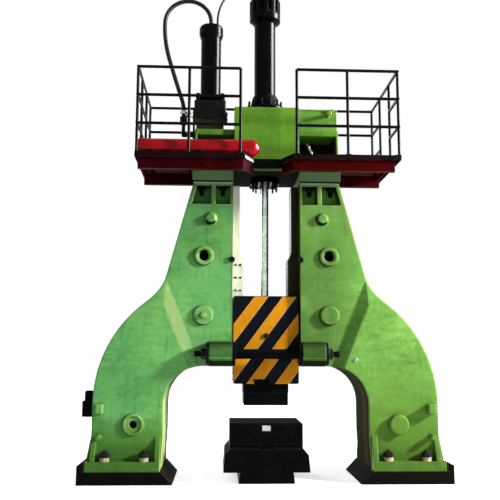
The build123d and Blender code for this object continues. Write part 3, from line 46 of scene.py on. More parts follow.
camera_place = (-0.58, -9.16, 1.57)
camera_tilt = 0.144
camera_turn = 0.042
camera_roll = 0.004
camera_lens = 50.4
camera_sensor = 36


def make_camera():
    forward = Vector((
        math.sin(camera_turn) * math.cos(camera_tilt),
        math.cos(camera_turn) * math.cos(camera_tilt),
        math.sin(camera_tilt),
    ))
    right = Vector((math.cos(camera_turn), -math.sin(camera_turn), 0))
    up = right.cross(forward)
    level = Matrix((right, up, -forward)).transposed()
    data = bpy.data.cameras.new("camera")
    data.lens = camera_lens
    data.sensor_width = camera_sensor
    camera = bpy.data.objects.new("camera", data)
    camera.matrix_world = Matrix.Translation(camera_place) @ (
        level.to_4x4() @ Matrix.Rotation(camera_roll, 4, "Z")
    )
    scene.collection.objects.link(camera)
    scene.camera = camera


# Hoses: the routes from the accumulator's cap to the shut-off valve and to the cylinder's cap

thick_hose_route = [
    (-0.738, -0.220, 5.900), (-0.738, -0.220, 6.020), (-0.785, -0.219, 6.134), (-0.873, -0.217, 6.222),
    (-0.987, -0.215, 6.269), (-1.111, -0.213, 6.269), (-1.225, -0.212, 6.222), (-1.313, -0.212, 6.134),
    (-1.360, -0.213, 6.020), (-1.364, -0.214, 5.895), (-1.358, -0.215, 5.765), (-1.340, -0.217, 5.625),
    (-1.306, -0.218, 5.475), (-1.265, -0.219, 5.340), (-1.223, -0.220, 5.203), (-1.180, -0.220, 5.065),
    (-1.136, -0.220, 4.930), (-1.105, -0.220, 4.840), (-1.090, -0.220, 4.756), (-1.090, -0.220, 4.672),
]
thick_hose_diameter = 0.056
thick_hose_length = 2.360

thin_hose_route = [
    (-0.655, -0.220, 5.900), (-0.655, -0.220, 5.990), (-0.648, -0.218, 6.084), (-0.627, -0.211, 6.177),
    (-0.593, -0.200, 6.267), (-0.546, -0.184, 6.352), (-0.487, -0.165, 6.430), (-0.418, -0.141, 6.498),
    (-0.341, -0.115, 6.554), (-0.257, -0.086, 6.600), (-0.171, -0.057, 6.621), (-0.095, -0.032, 6.601),
    (-0.034, -0.011, 6.549), (0.0, 0.0, 6.475), (0.0, 0.0, 6.400),
]
thin_hose_diameter = 0.030
thin_hose_length = 1.283

hoses = {
    "thick_hose": (thick_hose_route, thick_hose_diameter, thick_hose_length),
    "thin_hose": (thin_hose_route, thin_hose_diameter, thin_hose_length),
}
hose_steps = 10
hose_roundness = 5
hose_curve_order = 3


def make_hose(name, route, diameter, node, material):
    """A smooth hose along a route, shown in place of its solid."""
    curve = bpy.data.curves.new(name, "CURVE")
    curve.dimensions = "3D"
    curve.resolution_u = hose_steps
    curve.bevel_depth = diameter / 2
    curve.bevel_resolution = hose_roundness
    curve.use_fill_caps = True
    spline = curve.splines.new("NURBS")
    spline.points.add(len(route) - 1)
    for point, place in zip(spline.points, route):
        point.co = (*place, 1)
    spline.order_u = hose_curve_order
    spline.use_endpoint_u = True
    hose = bpy.data.objects.new(name, curve)
    scene.collection.objects.link(hose)
    curve.materials.append(material)
    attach(hose, "frame")
    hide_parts(node)


# Small pieces: an oil plug, a drain elbow and a stub, turned from profiles of rise and radius

plug_place = (1.109, -0.43, 1.471)
plug_collar = [(0.0005, 0.02375), (0.003, 0.02375), (0.004, 0.0228)]
plug_head = [(0.004, 0.019), (0.014, 0.019), (0.016, 0.01672)]

drain_route = [
    (0.600, -0.30, 3.9005), (0.600, -0.30, 4.060), (0.595, -0.30, 4.140), (0.586, -0.30, 4.172),
    (0.568, -0.30, 4.196), (0.558, -0.30, 4.235), (0.534, -0.30, 4.258),
]
drain_radius = 0.016
drain_lip_radius = 0.0192
drain_nut = [(0.006, 0.0256), (0.026, 0.0256), (0.029, 0.0232)]

stub_place = (0.808, -0.351, 4.640)
stub_profile = [
    (0.0, 0.030), (0.008, 0.025), (0.086, 0.025), (0.092, 0.034), (0.112, 0.034), (0.116, 0.029),
]

forward_way = (0, -1, 0)
upward_way = (0, 0, 1)
hexagon = 6
tube_sides = 20
round_sides = 32


def small_piece(name, shape, material):
    mesh = bpy.data.meshes.new(name)
    shape.to_mesh(mesh)
    shape.free()
    mesh.materials.append(material)
    piece = bpy.data.objects.new(name, mesh)
    scene.collection.objects.link(piece)
    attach(piece, "frame")


def ring(shape, centre, along, radius, sides):
    """A ring of points around a centre, square to a direction."""
    along = Vector(along).normalized()
    across = along.orthogonal().normalized()
    other = along.cross(across)
    points = []
    for step in range(sides):
        angle = 2 * math.pi * step / sides
        place = Vector(centre) + radius * (math.cos(angle) * across + math.sin(angle) * other)
        points.append(shape.verts.new(place))
    return points


def skin_rings(shape, rings):
    """Faces between rings of equal count, and a lid on each end."""
    for low, high in zip(rings, rings[1:]):
        for step in range(len(low)):
            following = (step + 1) % len(low)
            shape.faces.new((low[step], low[following], high[following], high[step]))
    shape.faces.new(list(reversed(rings[0])))
    shape.faces.new(rings[-1])
    bmesh.ops.recalc_face_normals(shape, faces=shape.faces)


def turn_profile(shape, foot, way, profile, sides):
    """A round or six-sided form on a foot: each pair of the profile is a rise and a radius."""
    rings = []
    for rise, radius in profile:
        centre = [start + rise * part for start, part in zip(foot, way)]
        rings.append(ring(shape, centre, way, radius, sides))
    skin_rings(shape, rings)


def make_oil_plug(material):
    """A hexagon plug on a round collar, with a chamfered head."""
    shape = bmesh.new()
    turn_profile(shape, plug_place, forward_way, plug_collar, round_sides)
    turn_profile(shape, plug_place, forward_way, plug_head, hexagon)
    small_piece("oil_plug", shape, material)


def make_drain_elbow(material):
    """A bent drain tube with a nut at its foot and a flared lip."""
    shape = bmesh.new()
    route = [Vector(place) for place in drain_route]
    last = len(route) - 1
    rings = []
    for step, place in enumerate(route):
        along = route[min(step + 1, last)] - route[max(step - 1, 0)]
        radius = drain_lip_radius if step == last else drain_radius
        rings.append(ring(shape, place, along, radius, tube_sides))
    skin_rings(shape, rings)
    turn_profile(shape, drain_route[0], upward_way, drain_nut, hexagon)
    small_piece("drain_elbow", shape, material)


def make_box_stub(material):
    """A round stub with a flared end, standing out of the oil box's front."""
    shape = bmesh.new()
    turn_profile(shape, stub_place, forward_way, stub_profile, round_sides)
    small_piece("oil_box_stub", shape, material)


# Material building blocks

bevel_samples = 4
corner_samples = 6
corner_open = 0.8
corner_closed = 0.35
edge_flat = 0.995
edge_turned = 0.90
facing = 0.5


class Tree:
    """A material's node tree with short calls for the nodes that the finishes share.

    A value is a node's output or a plain number, and a colour is an output or three numbers.
    The calls return the output that the next node reads. Only add returns the node itself.
    """

    def __init__(self, name):
        self.material = bpy.data.materials.new(name)
        self.material.use_nodes = True
        self.tree = self.material.node_tree
        self.shader = self.tree.nodes["Principled BSDF"]
        self.place = self.tree.nodes.new("ShaderNodeTexCoord").outputs["Object"]

    def add(self, kind, **settings):
        node = self.tree.nodes.new(kind)
        for key, value in settings.items():
            setattr(node, key, value)
        return node

    def link(self, source, target):
        self.tree.links.new(source, target)

    def feed(self, target, value):
        if isinstance(value, bpy.types.NodeSocket):
            self.link(value, target)
        else:
            target.default_value = value

    def stretched(self, scale):
        """The piece's own coordinates, scaled along each axis."""
        node = self.add("ShaderNodeMapping")
        self.link(self.place, node.inputs["Vector"])
        node.inputs["Scale"].default_value = scale
        return node.outputs["Vector"]

    def noise(self, scale, detail=3.0, roughness=0.55, distortion=0.0, place=None):
        node = self.add("ShaderNodeTexNoise")
        self.link(place or self.place, node.inputs["Vector"])
        node.inputs["Scale"].default_value = scale
        node.inputs["Detail"].default_value = detail
        node.inputs["Roughness"].default_value = roughness
        node.inputs["Distortion"].default_value = distortion
        return node.outputs["Fac"]

    def ramp(self, factor, *stops):
        """A colour from a value: each stop is a level and its colour."""
        node = self.add("ShaderNodeValToRGB")
        band = node.color_ramp
        while len(band.elements) < len(stops):
            band.elements.new(0.5)
        for element, (position, colour) in zip(band.elements, stops):
            element.position = position
            element.color = (*colour, 1)
        self.link(factor, node.inputs["Fac"])
        return node.outputs["Color"]

    def span(self, factor, low, high, bottom=0.0, top=1.0):
        """Bottom where a value is at low, top where it is at high, level beyond both."""
        node = self.add("ShaderNodeMapRange", clamp=True)
        self.link(factor, node.inputs["Value"])
        node.inputs["From Min"].default_value = low
        node.inputs["From Max"].default_value = high
        node.inputs["To Min"].default_value = bottom
        node.inputs["To Max"].default_value = top
        return node.outputs["Result"]

    def mix(self, factor, a, b):
        """The first colour where the factor is 0 and the second where it is 1."""
        node = self.add("ShaderNodeMix", data_type="RGBA")
        self.feed(node.inputs["Factor"], factor)
        colour_inputs = [socket for socket in node.inputs if socket.type == "RGBA"]
        for socket, value in zip(colour_inputs, (a, b)):
            self.feed(socket, value if isinstance(value, bpy.types.NodeSocket) else (*value, 1))
        return next(socket for socket in node.outputs if socket.type == "RGBA")

    def math(self, operation, *values):
        node = self.add("ShaderNodeMath", operation=operation)
        for socket, value in zip(node.inputs, values):
            self.feed(socket, value)
        return node.outputs["Value"]

    def above(self, value, level):
        return self.math("GREATER_THAN", value, level)

    def below(self, value, level):
        return self.math("LESS_THAN", value, level)

    def between(self, value, low, high):
        return self.times(self.above(value, low), self.below(value, high))

    def larger(self, a, b):
        return self.math("MAXIMUM", a, b)

    def plus(self, a, b):
        return self.math("ADD", a, b)

    def minus(self, a, b):
        return self.math("SUBTRACT", a, b)

    def size(self, value):
        return self.math("ABSOLUTE", value)

    def times(self, *factors):
        result = factors[0]
        for factor in factors[1:]:
            result = self.math("MULTIPLY", result, factor)
        return result

    def axis(self, name, source=None):
        node = self.add("ShaderNodeSeparateXYZ")
        self.link(source or self.place, node.inputs["Vector"])
        return node.outputs[name]

    def away(self, name):
        """The distance from the hammer's middle plane along one axis."""
        return self.size(self.axis(name))

    def normal(self, name):
        return self.axis(name, self.add("ShaderNodeNewGeometry").outputs["Normal"])

    def rounded(self, radius):
        """The surface's direction with its sharp edges rounded off."""
        node = self.add("ShaderNodeBevel", samples=bevel_samples)
        node.inputs["Radius"].default_value = radius
        return node.outputs["Normal"]

    def edge(self, radius):
        """1 near a sharp edge and 0 on a plain face."""
        dot = self.add("ShaderNodeVectorMath", operation="DOT_PRODUCT")
        self.link(self.rounded(radius), dot.inputs[0])
        self.link(self.add("ShaderNodeNewGeometry").outputs["Normal"], dot.inputs[1])
        return self.span(dot.outputs["Value"], edge_flat, edge_turned)

    def leaning(self, radius):
        """How far a rounded edge turns the surface sideways and upwards."""
        soft = self.rounded(radius)
        return [self.minus(self.axis(name, soft), self.normal(name)) for name in "XZ"]

    def crevice(self, distance):
        """1 deep in a corner and 0 on an open face."""
        node = self.add("ShaderNodeAmbientOcclusion", samples=corner_samples)
        node.inputs["Distance"].default_value = distance
        return self.span(node.outputs["AO"], corner_open, corner_closed)

    def bump(self, height, strength, distance, under=None):
        node = self.add("ShaderNodeBump")
        self.link(height, node.inputs["Height"])
        node.inputs["Strength"].default_value = strength
        node.inputs["Distance"].default_value = distance
        if under is not None:
            self.link(under, node.inputs["Normal"])
        return node.outputs["Normal"]

    def finish(self, colour, roughness, gloss, normal=None, metallic=0.0):
        self.feed(self.shader.inputs["Base Color"], colour)
        self.feed(self.shader.inputs["Roughness"], roughness)
        self.feed(self.shader.inputs["Metallic"], metallic)
        self.shader.inputs["Specular IOR Level"].default_value = gloss
        if normal is not None:
            self.link(normal, self.shader.inputs["Normal"])
        return self.material


def rgb(red, green, blue):
    """A colour as seen on screen, 0 to 255, as linear light, by the standard screen curve."""
    def linear(level):
        level = level / 255
        return level / 12.92 if level <= 0.04045 else ((level + 0.055) / 1.055) ** 2.4
    return linear(red), linear(green), linear(blue)


# Castings: where the legs and the head change colour, and where light and shade are painted on them

casting_gloss = 0.05
casting_rounding = 0.024
corner_shade_tone = rgb(24, 38, 14)
rim_radius = 0.03
column_edge = 0.50
corner_depth = 0.05

leg_top = 3.73
leg_rim = 0.022
rim_tone = rgb(186, 196, 166)
arch_wall = 1.40
boss_face = -0.434
boss_span = (1.50, 2.00)
boss_reach = 0.85
boss_shade_tone = rgb(28, 48, 12)
facet_lean = (0.18, 0.60)
facet_low = 1.55
facet_low_fade = 0.15
facet_high = 2.42
facet_high_fade = 0.2
facet_highlight_tone = rgb(118, 140, 82)
head_shade = (2.3, 3.6)
foot_darkening = (0.8, 0.3)
low_tone_end = 0.4
column_shade_x = (1.2, 0.8)
column_shade_z = (3.2, 2.5)
foot_shade = (1.45, 0.95)
soot_and_shade = rgb(9, 7, 4)
brown_band_tone = rgb(74, 50, 24)
soot_and_shade_fade = 0.04
brown_band_middle = -0.14
brown_band_reach = (0.16, 0.04)

head_low_shade = (4.15, 3.88)
head_shade_tone = rgb(60, 72, 26)
pad_top = 3.8605
pad_inner = 0.425
pad_tone = rgb(98, 128, 98)
pad_joint = 3.742
joint_tone = rgb(34, 32, 20)
recess_span = (3.862, 4.344)
recess_depth = 0.396
recess_inner = 0.4205
recess_outer = 0.9295
recess_shade_tones = (rgb(22, 22, 10), rgb(44, 52, 24))
head_foot = 3.9
underside_shade_tone = rgb(16, 11, 6)


def cast_paint(tree, dark, middle, light, edge_tone, dirt_and_shade, cool):
    """Brushed enamel over a rough casting: broad tone changes, brush marks, runs, a painted highlight on
    edges that lean right or up, and painted shade in corners and on edges that lean left.
    """
    broad = tree.noise(1.6, detail=4, roughness=0.6, distortion=0.4)
    mottle = tree.noise(9, detail=6, roughness=0.7, distortion=1.2)
    brushed = tree.stretched((0.8, 1, 3.2))
    strokes = tree.noise(4, detail=6, roughness=0.7, distortion=0.8, place=brushed)
    tone = tree.plus(tree.times(broad, 0.45), tree.plus(tree.times(mottle, 0.3), tree.times(strokes, 0.25)))
    colour = tree.ramp(tone, (0.36, dark), (0.50, middle), (0.66, light))
    drift = tree.noise(0.9, detail=3, roughness=0.5, distortion=0.5)
    colour = tree.mix(tree.span(drift, 0.40, 0.62, 0.0, 0.35), colour, cool)
    runs = tree.noise(3, detail=5, roughness=0.65, distortion=0.2, place=tree.stretched((6, 6, 0.5)))
    colour = tree.mix(tree.span(runs, 0.56, 0.74, 0, 0.35), colour, dirt_and_shade)
    chips = tree.noise(46, detail=4, roughness=0.75, distortion=0.5)
    colour = tree.mix(tree.span(chips, 0.70, 0.76, 0, 0.5), colour, dirt_and_shade)
    sideways, upward = tree.leaning(rim_radius)
    # On the columns' inner edges the painted highlight and the painted shade change places
    column = tree.times(tree.below(tree.away("X"), column_edge), 2)
    sideways = tree.times(sideways, tree.minus(1, column))
    # Painted highlight: edges that lean right or up are painted pale, patchy with the mottle
    wear_and_highlight = tree.span(mottle, 0.35, 0.6, 0.5, 1)
    pale = tree.larger(tree.span(sideways, 0.03, 0.2), tree.span(upward, 0.03, 0.2, 0, 0.7))
    colour = tree.mix(tree.times(pale, wear_and_highlight, 0.75), colour, edge_tone)
    # Painted shade: corners and edges that lean left are painted dark
    corner = tree.larger(tree.crevice(corner_depth), tree.span(sideways, -0.03, -0.2, 0, 0.9))
    return mottle, tree.mix(tree.times(corner, 0.85), colour, corner_shade_tone)


def cast_skin(tree, colour, mottle, dull, grain=34, depth=0.0035, rough=(0.42, 0.66)):
    """The casting's rough skin. The dull places, under soot or painted shade, throw back no light."""
    rougher = tree.larger(tree.span(mottle, 0.3, 0.7, *rough), dull)
    relief = tree.plus(tree.noise(grain, detail=5, roughness=0.6), tree.times(tree.noise(5), 1.5))
    normal = tree.bump(relief, strength=0.35, distance=depth, under=tree.rounded(casting_rounding))
    return tree.finish(colour, rougher, gloss=casting_gloss, normal=normal)


def shade_right_leg(tree, colour, mottle, height, dirt_and_shade):
    """The right leg's column and foot, darkened with painted shade."""
    # Painted shade on the inner column and the foot
    inward = tree.span(tree.axis("X"), *column_shade_x, 0, 0.95)
    column = tree.times(inward, tree.span(height, *column_shade_z))
    foot = tree.span(height, *foot_shade, 0, 0.45)
    return tree.mix(tree.times(tree.larger(column, foot), mottle), colour, dirt_and_shade)


def paint_facet_highlight(tree, colour, height):
    """The left leg's leaning facet, painted paler as a highlight."""
    facet = tree.times(
        tree.between(tree.normal("X"), *facet_lean), tree.below(tree.normal("Y"), -facing),
        tree.span(height, facet_low, facet_low + facet_low_fade),
        tree.span(height, facet_high, facet_high - facet_high_fade))
    return tree.mix(tree.times(facet, 0.8), colour, facet_highlight_tone)


def paint_arch_light_and_shade(tree, colour, side, edge_tone, soot_and_shade_depth):
    """The arch's inner wall: pale in front as painted light, black with soot and painted shade from the
    given depth on, with a brown band in it.
    """
    within = tree.below(tree.away("X"), arch_wall)
    # Painted light: the front of the wall that faces the hammer's axis is painted pale
    inward = tree.times(tree.span(tree.times(tree.normal("X"), -side), 0.62, 0.8), within)
    colour = tree.mix(tree.times(inward, 0.6), colour, edge_tone)
    # Soot and painted shade: the wall from the given depth back, and the faces turned down, are painted
    # black
    deep = tree.times(inward, tree.span(tree.axis("Y"), soot_and_shade_depth, soot_and_shade_depth + soot_and_shade_fade))
    under = tree.times(tree.span(tree.times(tree.normal("Z"), -1), 0.2, 0.6), within)
    sooty_and_shaded = tree.larger(deep, under)
    band = tree.size(tree.minus(tree.axis("Y"), brown_band_middle))
    shade_soot_and_band = tree.mix(tree.span(band, *brown_band_reach, 0, 0.8), soot_and_shade, brown_band_tone)
    return sooty_and_shaded, tree.mix(tree.times(sooty_and_shaded, 0.96), colour, shade_soot_and_band)


def leg_paint(name, side, dark, middle, light, edge_tone, dirt_and_shade, cool, low_tone, low_from, soot_and_shade_depth):
    """A painted leg: painted shade towards the head, darker low down, black with soot and painted shade
    inside its arch.
    """
    tree = Tree(name)
    mottle, colour = cast_paint(tree, dark, middle, light, edge_tone, dirt_and_shade, cool)
    height = tree.axis("Z")
    # Painted shade towards the head, patchy with the mottle
    colour = tree.mix(tree.times(tree.span(height, *head_shade, 0, 0.9), mottle), colour, dirt_and_shade)
    colour = tree.mix(tree.span(height, low_from, low_tone_end, 0, 0.7), colour, low_tone)
    # Darker towards the floor, patchy with the mottle
    colour = tree.mix(tree.times(tree.span(height, *foot_darkening, 0, 0.95), mottle), colour, dirt_and_shade)
    if side > 0:
        colour = shade_right_leg(tree, colour, mottle, height, dirt_and_shade)
    rim = tree.times(tree.above(height, leg_top - leg_rim), 0.7)
    colour = tree.mix(rim, colour, rim_tone)
    # Painted shade on the tie bosses: darker on faces that turn up or down
    boss = tree.times(
        tree.below(tree.axis("Y"), boss_face), tree.between(tree.axis("Z"), *boss_span),
        tree.below(tree.away("X"), boss_reach))
    shade = tree.span(tree.size(tree.normal("Z")), 0.3, 0.85, 0.68, 0.98)
    colour = tree.mix(tree.times(boss, shade), colour, boss_shade_tone)
    if side < 0:
        # Painted highlight on the leaning facet
        colour = paint_facet_highlight(tree, colour, height)
    sooty_and_shaded, colour = paint_arch_light_and_shade(tree, colour, side, edge_tone, soot_and_shade_depth)
    return cast_skin(tree, colour, mottle, sooty_and_shaded)


def head_paint(name, dark, middle, light, edge_tone, dirt_and_shade, cool):
    """The head: bright green block with painted shade low down, grey-green pads under it, black painted
    shade in the recesses and on the underside.
    """
    tree = Tree(name)
    mottle, colour = cast_paint(tree, dark, middle, light, edge_tone, dirt_and_shade, cool)
    height = tree.axis("Z")
    # Painted shade low on the block, towards the pads
    colour = tree.mix(tree.times(tree.span(height, *head_low_shade, 0, 0.7), mottle), colour, head_shade_tone)
    pads = tree.times(tree.below(height, pad_top), tree.above(tree.away("X"), pad_inner))
    colour = tree.mix(tree.times(pads, 0.85), colour, pad_tone)
    colour = tree.mix(tree.times(pads, tree.below(height, pad_joint)), colour, joint_tone)
    # Painted shade: the recesses get a dark olive
    recess = tree.times(
        tree.between(tree.axis("Z"), *recess_span), tree.below(tree.away("Y"), recess_depth),
        tree.above(tree.away("X"), recess_inner), tree.below(tree.away("X"), recess_outer))
    olive = tree.ramp(mottle, (0.4, recess_shade_tones[0]), (0.65, recess_shade_tones[1]))
    colour = tree.mix(recess, colour, olive)
    # Painted shade: faces turned down under the block are painted near black
    under = tree.times(tree.below(tree.normal("Z"), -facing), tree.below(height, head_foot))
    colour = tree.mix(under, colour, underside_shade_tone)
    dull = tree.larger(under, recess)
    return cast_skin(tree, colour, mottle, dull, grain=60, depth=0.002, rough=(0.4, 0.6))


# Plate, guides and valve block

beam_change_x = (-0.4, 0.4)
lip_highlight_x = (-0.29, -0.1)
lip_highlight_y = (-0.85, -0.55)
lip_highlight_z = (3.93, 3.966)
distributor_top = 4.58


def sheet_paint(name, dark, light, edge_tone, dirt_and_shade, rough=(0.3, 0.46), gloss=0.2):
    """Sprayed enamel on plate: faint tone changes, orange peel, scuffs and pale edges."""
    tree = Tree(name)
    cloud = tree.noise(2.6, detail=4, roughness=0.6, distortion=0.3)
    colour = tree.ramp(cloud, (0.32, dark), (0.66, light))
    scuffs = tree.noise(18, detail=6, roughness=0.8, distortion=2.0, place=tree.stretched((1, 1, 3)))
    colour = tree.mix(tree.span(scuffs, 0.62, 0.72, 0, 0.45), colour, dirt_and_shade)
    edges = tree.times(tree.edge(0.008), tree.span(scuffs, 0.4, 0.6, 0.2, 1), 0.5)
    colour = tree.mix(edges, colour, edge_tone)
    rougher = tree.span(scuffs, 0.35, 0.7, *rough)
    grit = tree.noise(140, detail=2, roughness=0.5)
    normal = tree.bump(grit, strength=0.08, distance=0.0008, under=tree.rounded(0.004))
    return tree.finish(colour, rougher, gloss=gloss, normal=normal)


def frame_paint(name):
    """Maroon beams under the platform, brighter on the right where the light reaches them."""
    tree = Tree(name)
    cloud = tree.noise(3.2, detail=5, roughness=0.65, distortion=0.4)
    left = tree.ramp(cloud, (0.35, rgb(28, 1, 3)), (0.65, rgb(50, 1, 6)))
    right = tree.ramp(cloud, (0.35, rgb(32, 0, 0)), (0.65, rgb(60, 0, 1)))
    colour = tree.mix(tree.span(tree.axis("X"), *beam_change_x), left, right)
    scuffs = tree.noise(18, detail=6, roughness=0.8, distortion=2.0, place=tree.stretched((3, 1, 1)))
    colour = tree.mix(tree.span(scuffs, 0.62, 0.72, 0, 0.5), colour, rgb(24, 6, 8))
    colour = tree.mix(tree.times(tree.edge(0.006), 0.35), colour, rgb(190, 70, 66))
    grit = tree.noise(120, detail=2, roughness=0.5)
    normal = tree.bump(grit, strength=0.08, distance=0.0008, under=tree.rounded(0.004))
    return tree.finish(colour, tree.span(scuffs, 0.35, 0.7, 0.45, 0.65), gloss=0.02, normal=normal)


def deck_paint(name):
    """Black deck plates, dark red below, with a pale painted highlight on the left deck's slanted lip."""
    tree = Tree(name)
    cloud = tree.noise(9, detail=5, roughness=0.7, distortion=0.6)
    colour = tree.ramp(cloud, (0.38, rgb(6, 4, 5)), (0.68, rgb(15, 10, 12)))
    trodden = tree.span(tree.noise(3, detail=5, roughness=0.7), 0.45, 0.65, 0, 0.6)
    tread = tree.times(tree.above(tree.normal("Z"), facing), trodden)
    colour = tree.mix(tread, colour, rgb(78, 72, 70))
    colour = tree.mix(tree.below(tree.normal("Z"), -facing), colour, rgb(56, 5, 8))
    # Painted highlight: the left deck's slanted lip, facing right, is painted pale
    lip_highlight = tree.times(
        tree.above(tree.normal("X"), facing), tree.between(tree.axis("X"), *lip_highlight_x),
        tree.between(tree.axis("Y"), *lip_highlight_y), tree.between(tree.axis("Z"), *lip_highlight_z))
    colour = tree.mix(lip_highlight, colour, rgb(196, 190, 184))
    grit = tree.noise(70, detail=4, roughness=0.6)
    normal = tree.bump(grit, strength=0.2, distance=0.0012, under=tree.rounded(0.003))
    dull = tree.times(tree.above(tree.size(tree.normal("Z")), facing), 0.9)
    rougher = tree.larger(tree.span(cloud, 0.3, 0.7, 0.3, 0.5), dull)
    return tree.finish(colour, rougher, gloss=0.04, normal=normal)


def guide_paint(name):
    """Painted guides: pale cream on the left as painted light, dark olive on the right as painted shade."""
    tree = Tree(name)
    wear = tree.noise(7, detail=6, roughness=0.7, distortion=0.8, place=tree.stretched((1, 1, 0.35)))
    cream = tree.ramp(wear, (0.36, rgb(200, 194, 182)), (0.62, rgb(230, 229, 226)))
    olive = tree.ramp(wear, (0.38, rgb(16, 19, 7)), (0.68, rgb(46, 50, 22)))
    # Painted light and shade: the left guide gets the lit cream, the right guide the shaded olive
    colour = tree.mix(tree.above(tree.axis("X"), 0), cream, olive)
    colour = tree.mix(tree.span(wear, 0.66, 0.74, 0, 0.6), colour, rgb(70, 60, 34))
    grit = tree.noise(60, detail=3, roughness=0.5)
    normal = tree.bump(grit, strength=0.12, distance=0.0008, under=tree.rounded(0.003))
    return tree.finish(colour, tree.span(wear, 0.3, 0.7, 0.35, 0.55), gloss=0.06, normal=normal)


def valve_paint(name):
    """The valve block: black body above an olive-grey distributor plate."""
    tree = Tree(name)
    patches = tree.noise(8, detail=5, roughness=0.7, distortion=0.6)
    body = tree.ramp(patches, (0.4, rgb(5, 6, 6)), (0.7, rgb(14, 15, 15)))
    plate = tree.ramp(patches, (0.4, rgb(28, 30, 20)), (0.7, rgb(58, 58, 44)))
    colour = tree.mix(tree.below(tree.axis("Z"), distributor_top), body, plate)
    colour = tree.mix(tree.times(tree.edge(0.006), 0.35), colour, rgb(110, 108, 100))
    grit = tree.noise(60, detail=4, roughness=0.6)
    normal = tree.bump(grit, strength=0.2, distance=0.001, under=tree.rounded(0.004))
    return tree.finish(colour, tree.span(patches, 0.3, 0.7, 0.45, 0.65), gloss=0.06, normal=normal)


# Iron, steel, black enamel and rubber

washer_top = 0.3105
hose_ring_scale = 55
hose_ring_wander = 1.5


def bare_iron(name, dark, light, wear_and_highlight, rough=(0.35, 0.6), metallic=0.05, grain=60, depth=0.0018, gloss=0.04):
    """Black forged or cast iron: scale patches, rubbed edges and a rough skin, dull on top."""
    tree = Tree(name)
    patches = tree.noise(7, detail=6, roughness=0.7, distortion=0.8)
    colour = tree.ramp(patches, (0.36, dark), (0.64, light))
    rubbed = tree.times(tree.edge(0.010), tree.span(tree.noise(22, detail=4), 0.35, 0.6, 0.2, 1), 0.5)
    colour = tree.mix(rubbed, colour, wear_and_highlight)
    scratches = tree.noise(30, detail=5, roughness=0.75, distortion=1.5, place=tree.stretched((1, 1, 0.15)))
    colour = tree.mix(tree.span(scratches, 0.64, 0.72, 0, 0.3), colour, wear_and_highlight)
    grit = tree.noise(grain, detail=5, roughness=0.65)
    normal = tree.bump(grit, strength=0.35, distance=depth, under=tree.rounded(0.006))
    dull = tree.span(tree.normal("Z"), 0.3, 0.7, 0, 0.97)
    rougher = tree.larger(tree.span(patches, 0.3, 0.7, *rough), dull)
    return tree.finish(colour, rougher, gloss=gloss, normal=normal, metallic=metallic)


def machined(name, dark, light, rough=(0.2, 0.4), lay=(1, 1, 60)):
    """Machined or drawn metal: fine tool marks along the lay and cloudy handling marks."""
    tree = Tree(name)
    marks = tree.noise(6, detail=4, roughness=0.6, place=tree.stretched(lay))
    cloud = tree.noise(5, detail=5, roughness=0.65, distortion=0.6)
    tone = tree.plus(tree.times(marks, 0.4), tree.times(cloud, 0.6))
    colour = tree.ramp(tone, (0.38, dark), (0.62, light))
    normal = tree.bump(marks, strength=0.12, distance=0.0006, under=tree.rounded(0.003))
    return tree.finish(colour, tree.span(cloud, 0.3, 0.7, *rough), gloss=0.5, normal=normal, metallic=1.0)


def gloss_black_paint(name, base, light, rough=(0.14, 0.26)):
    """Black stove enamel: near mirror gloss with dust, fine ripple and dull patches."""
    tree = Tree(name)
    dust = tree.noise(12, detail=6, roughness=0.75, distortion=0.6, place=tree.stretched((1, 1, 0.4)))
    colour = tree.ramp(dust, (0.45, base), (0.75, light))
    chips = tree.times(tree.edge(0.006), tree.span(dust, 0.45, 0.6))
    colour = tree.mix(tree.times(chips, 0.3), colour, rgb(104, 102, 98))
    grit = tree.noise(26, detail=3, roughness=0.5)
    normal = tree.bump(grit, strength=0.05, distance=0.001, under=tree.rounded(0.004))
    return tree.finish(colour, tree.span(dust, 0.4, 0.75, *rough), gloss=0.04, normal=normal)


def rubber(name, dark, light):
    """Black hose cover: cloth-wrapped rubber with fine rings and pale dust."""
    tree = Tree(name)
    wave = tree.add("ShaderNodeTexWave", wave_type="BANDS", bands_direction="Z")
    tree.link(tree.place, wave.inputs["Vector"])
    wave.inputs["Scale"].default_value = hose_ring_scale
    wave.inputs["Distortion"].default_value = hose_ring_wander
    dust = tree.noise(20, detail=5, roughness=0.7)
    colour = tree.ramp(dust, (0.4, dark), (0.75, light))
    normal = tree.bump(wave.outputs["Fac"], strength=0.15, distance=0.0006)
    return tree.finish(colour, tree.span(dust, 0.3, 0.7, 0.38, 0.6), gloss=0.14, normal=normal)


def bolt_finish(name):
    """Black studs and nuts on pale washers."""
    tree = Tree(name)
    patches = tree.noise(24, detail=5, roughness=0.7)
    black = tree.ramp(patches, (0.4, rgb(8, 8, 9)), (0.7, rgb(24, 23, 22)))
    pale = tree.ramp(patches, (0.4, rgb(128, 126, 92)), (0.7, rgb(206, 202, 168)))
    colour = tree.mix(tree.below(tree.axis("Z"), washer_top), black, pale)
    normal = tree.bump(patches, strength=0.3, distance=0.001, under=tree.rounded(0.003))
    return tree.finish(colour, tree.span(patches, 0.3, 0.7, 0.35, 0.6), gloss=0.1, normal=normal)


# Warning stripes on the ram block, placed along X by where their slanted edges would meet the floor

stripe_slope = math.radians(53.3)
stripe_start = -1.832
stripe_repeat = 0.357
stripe_first = -1.94
stripe_share = 0.49
stripe_border = 0.012
stripe_top = 2.262
stripe_facing = 0.7


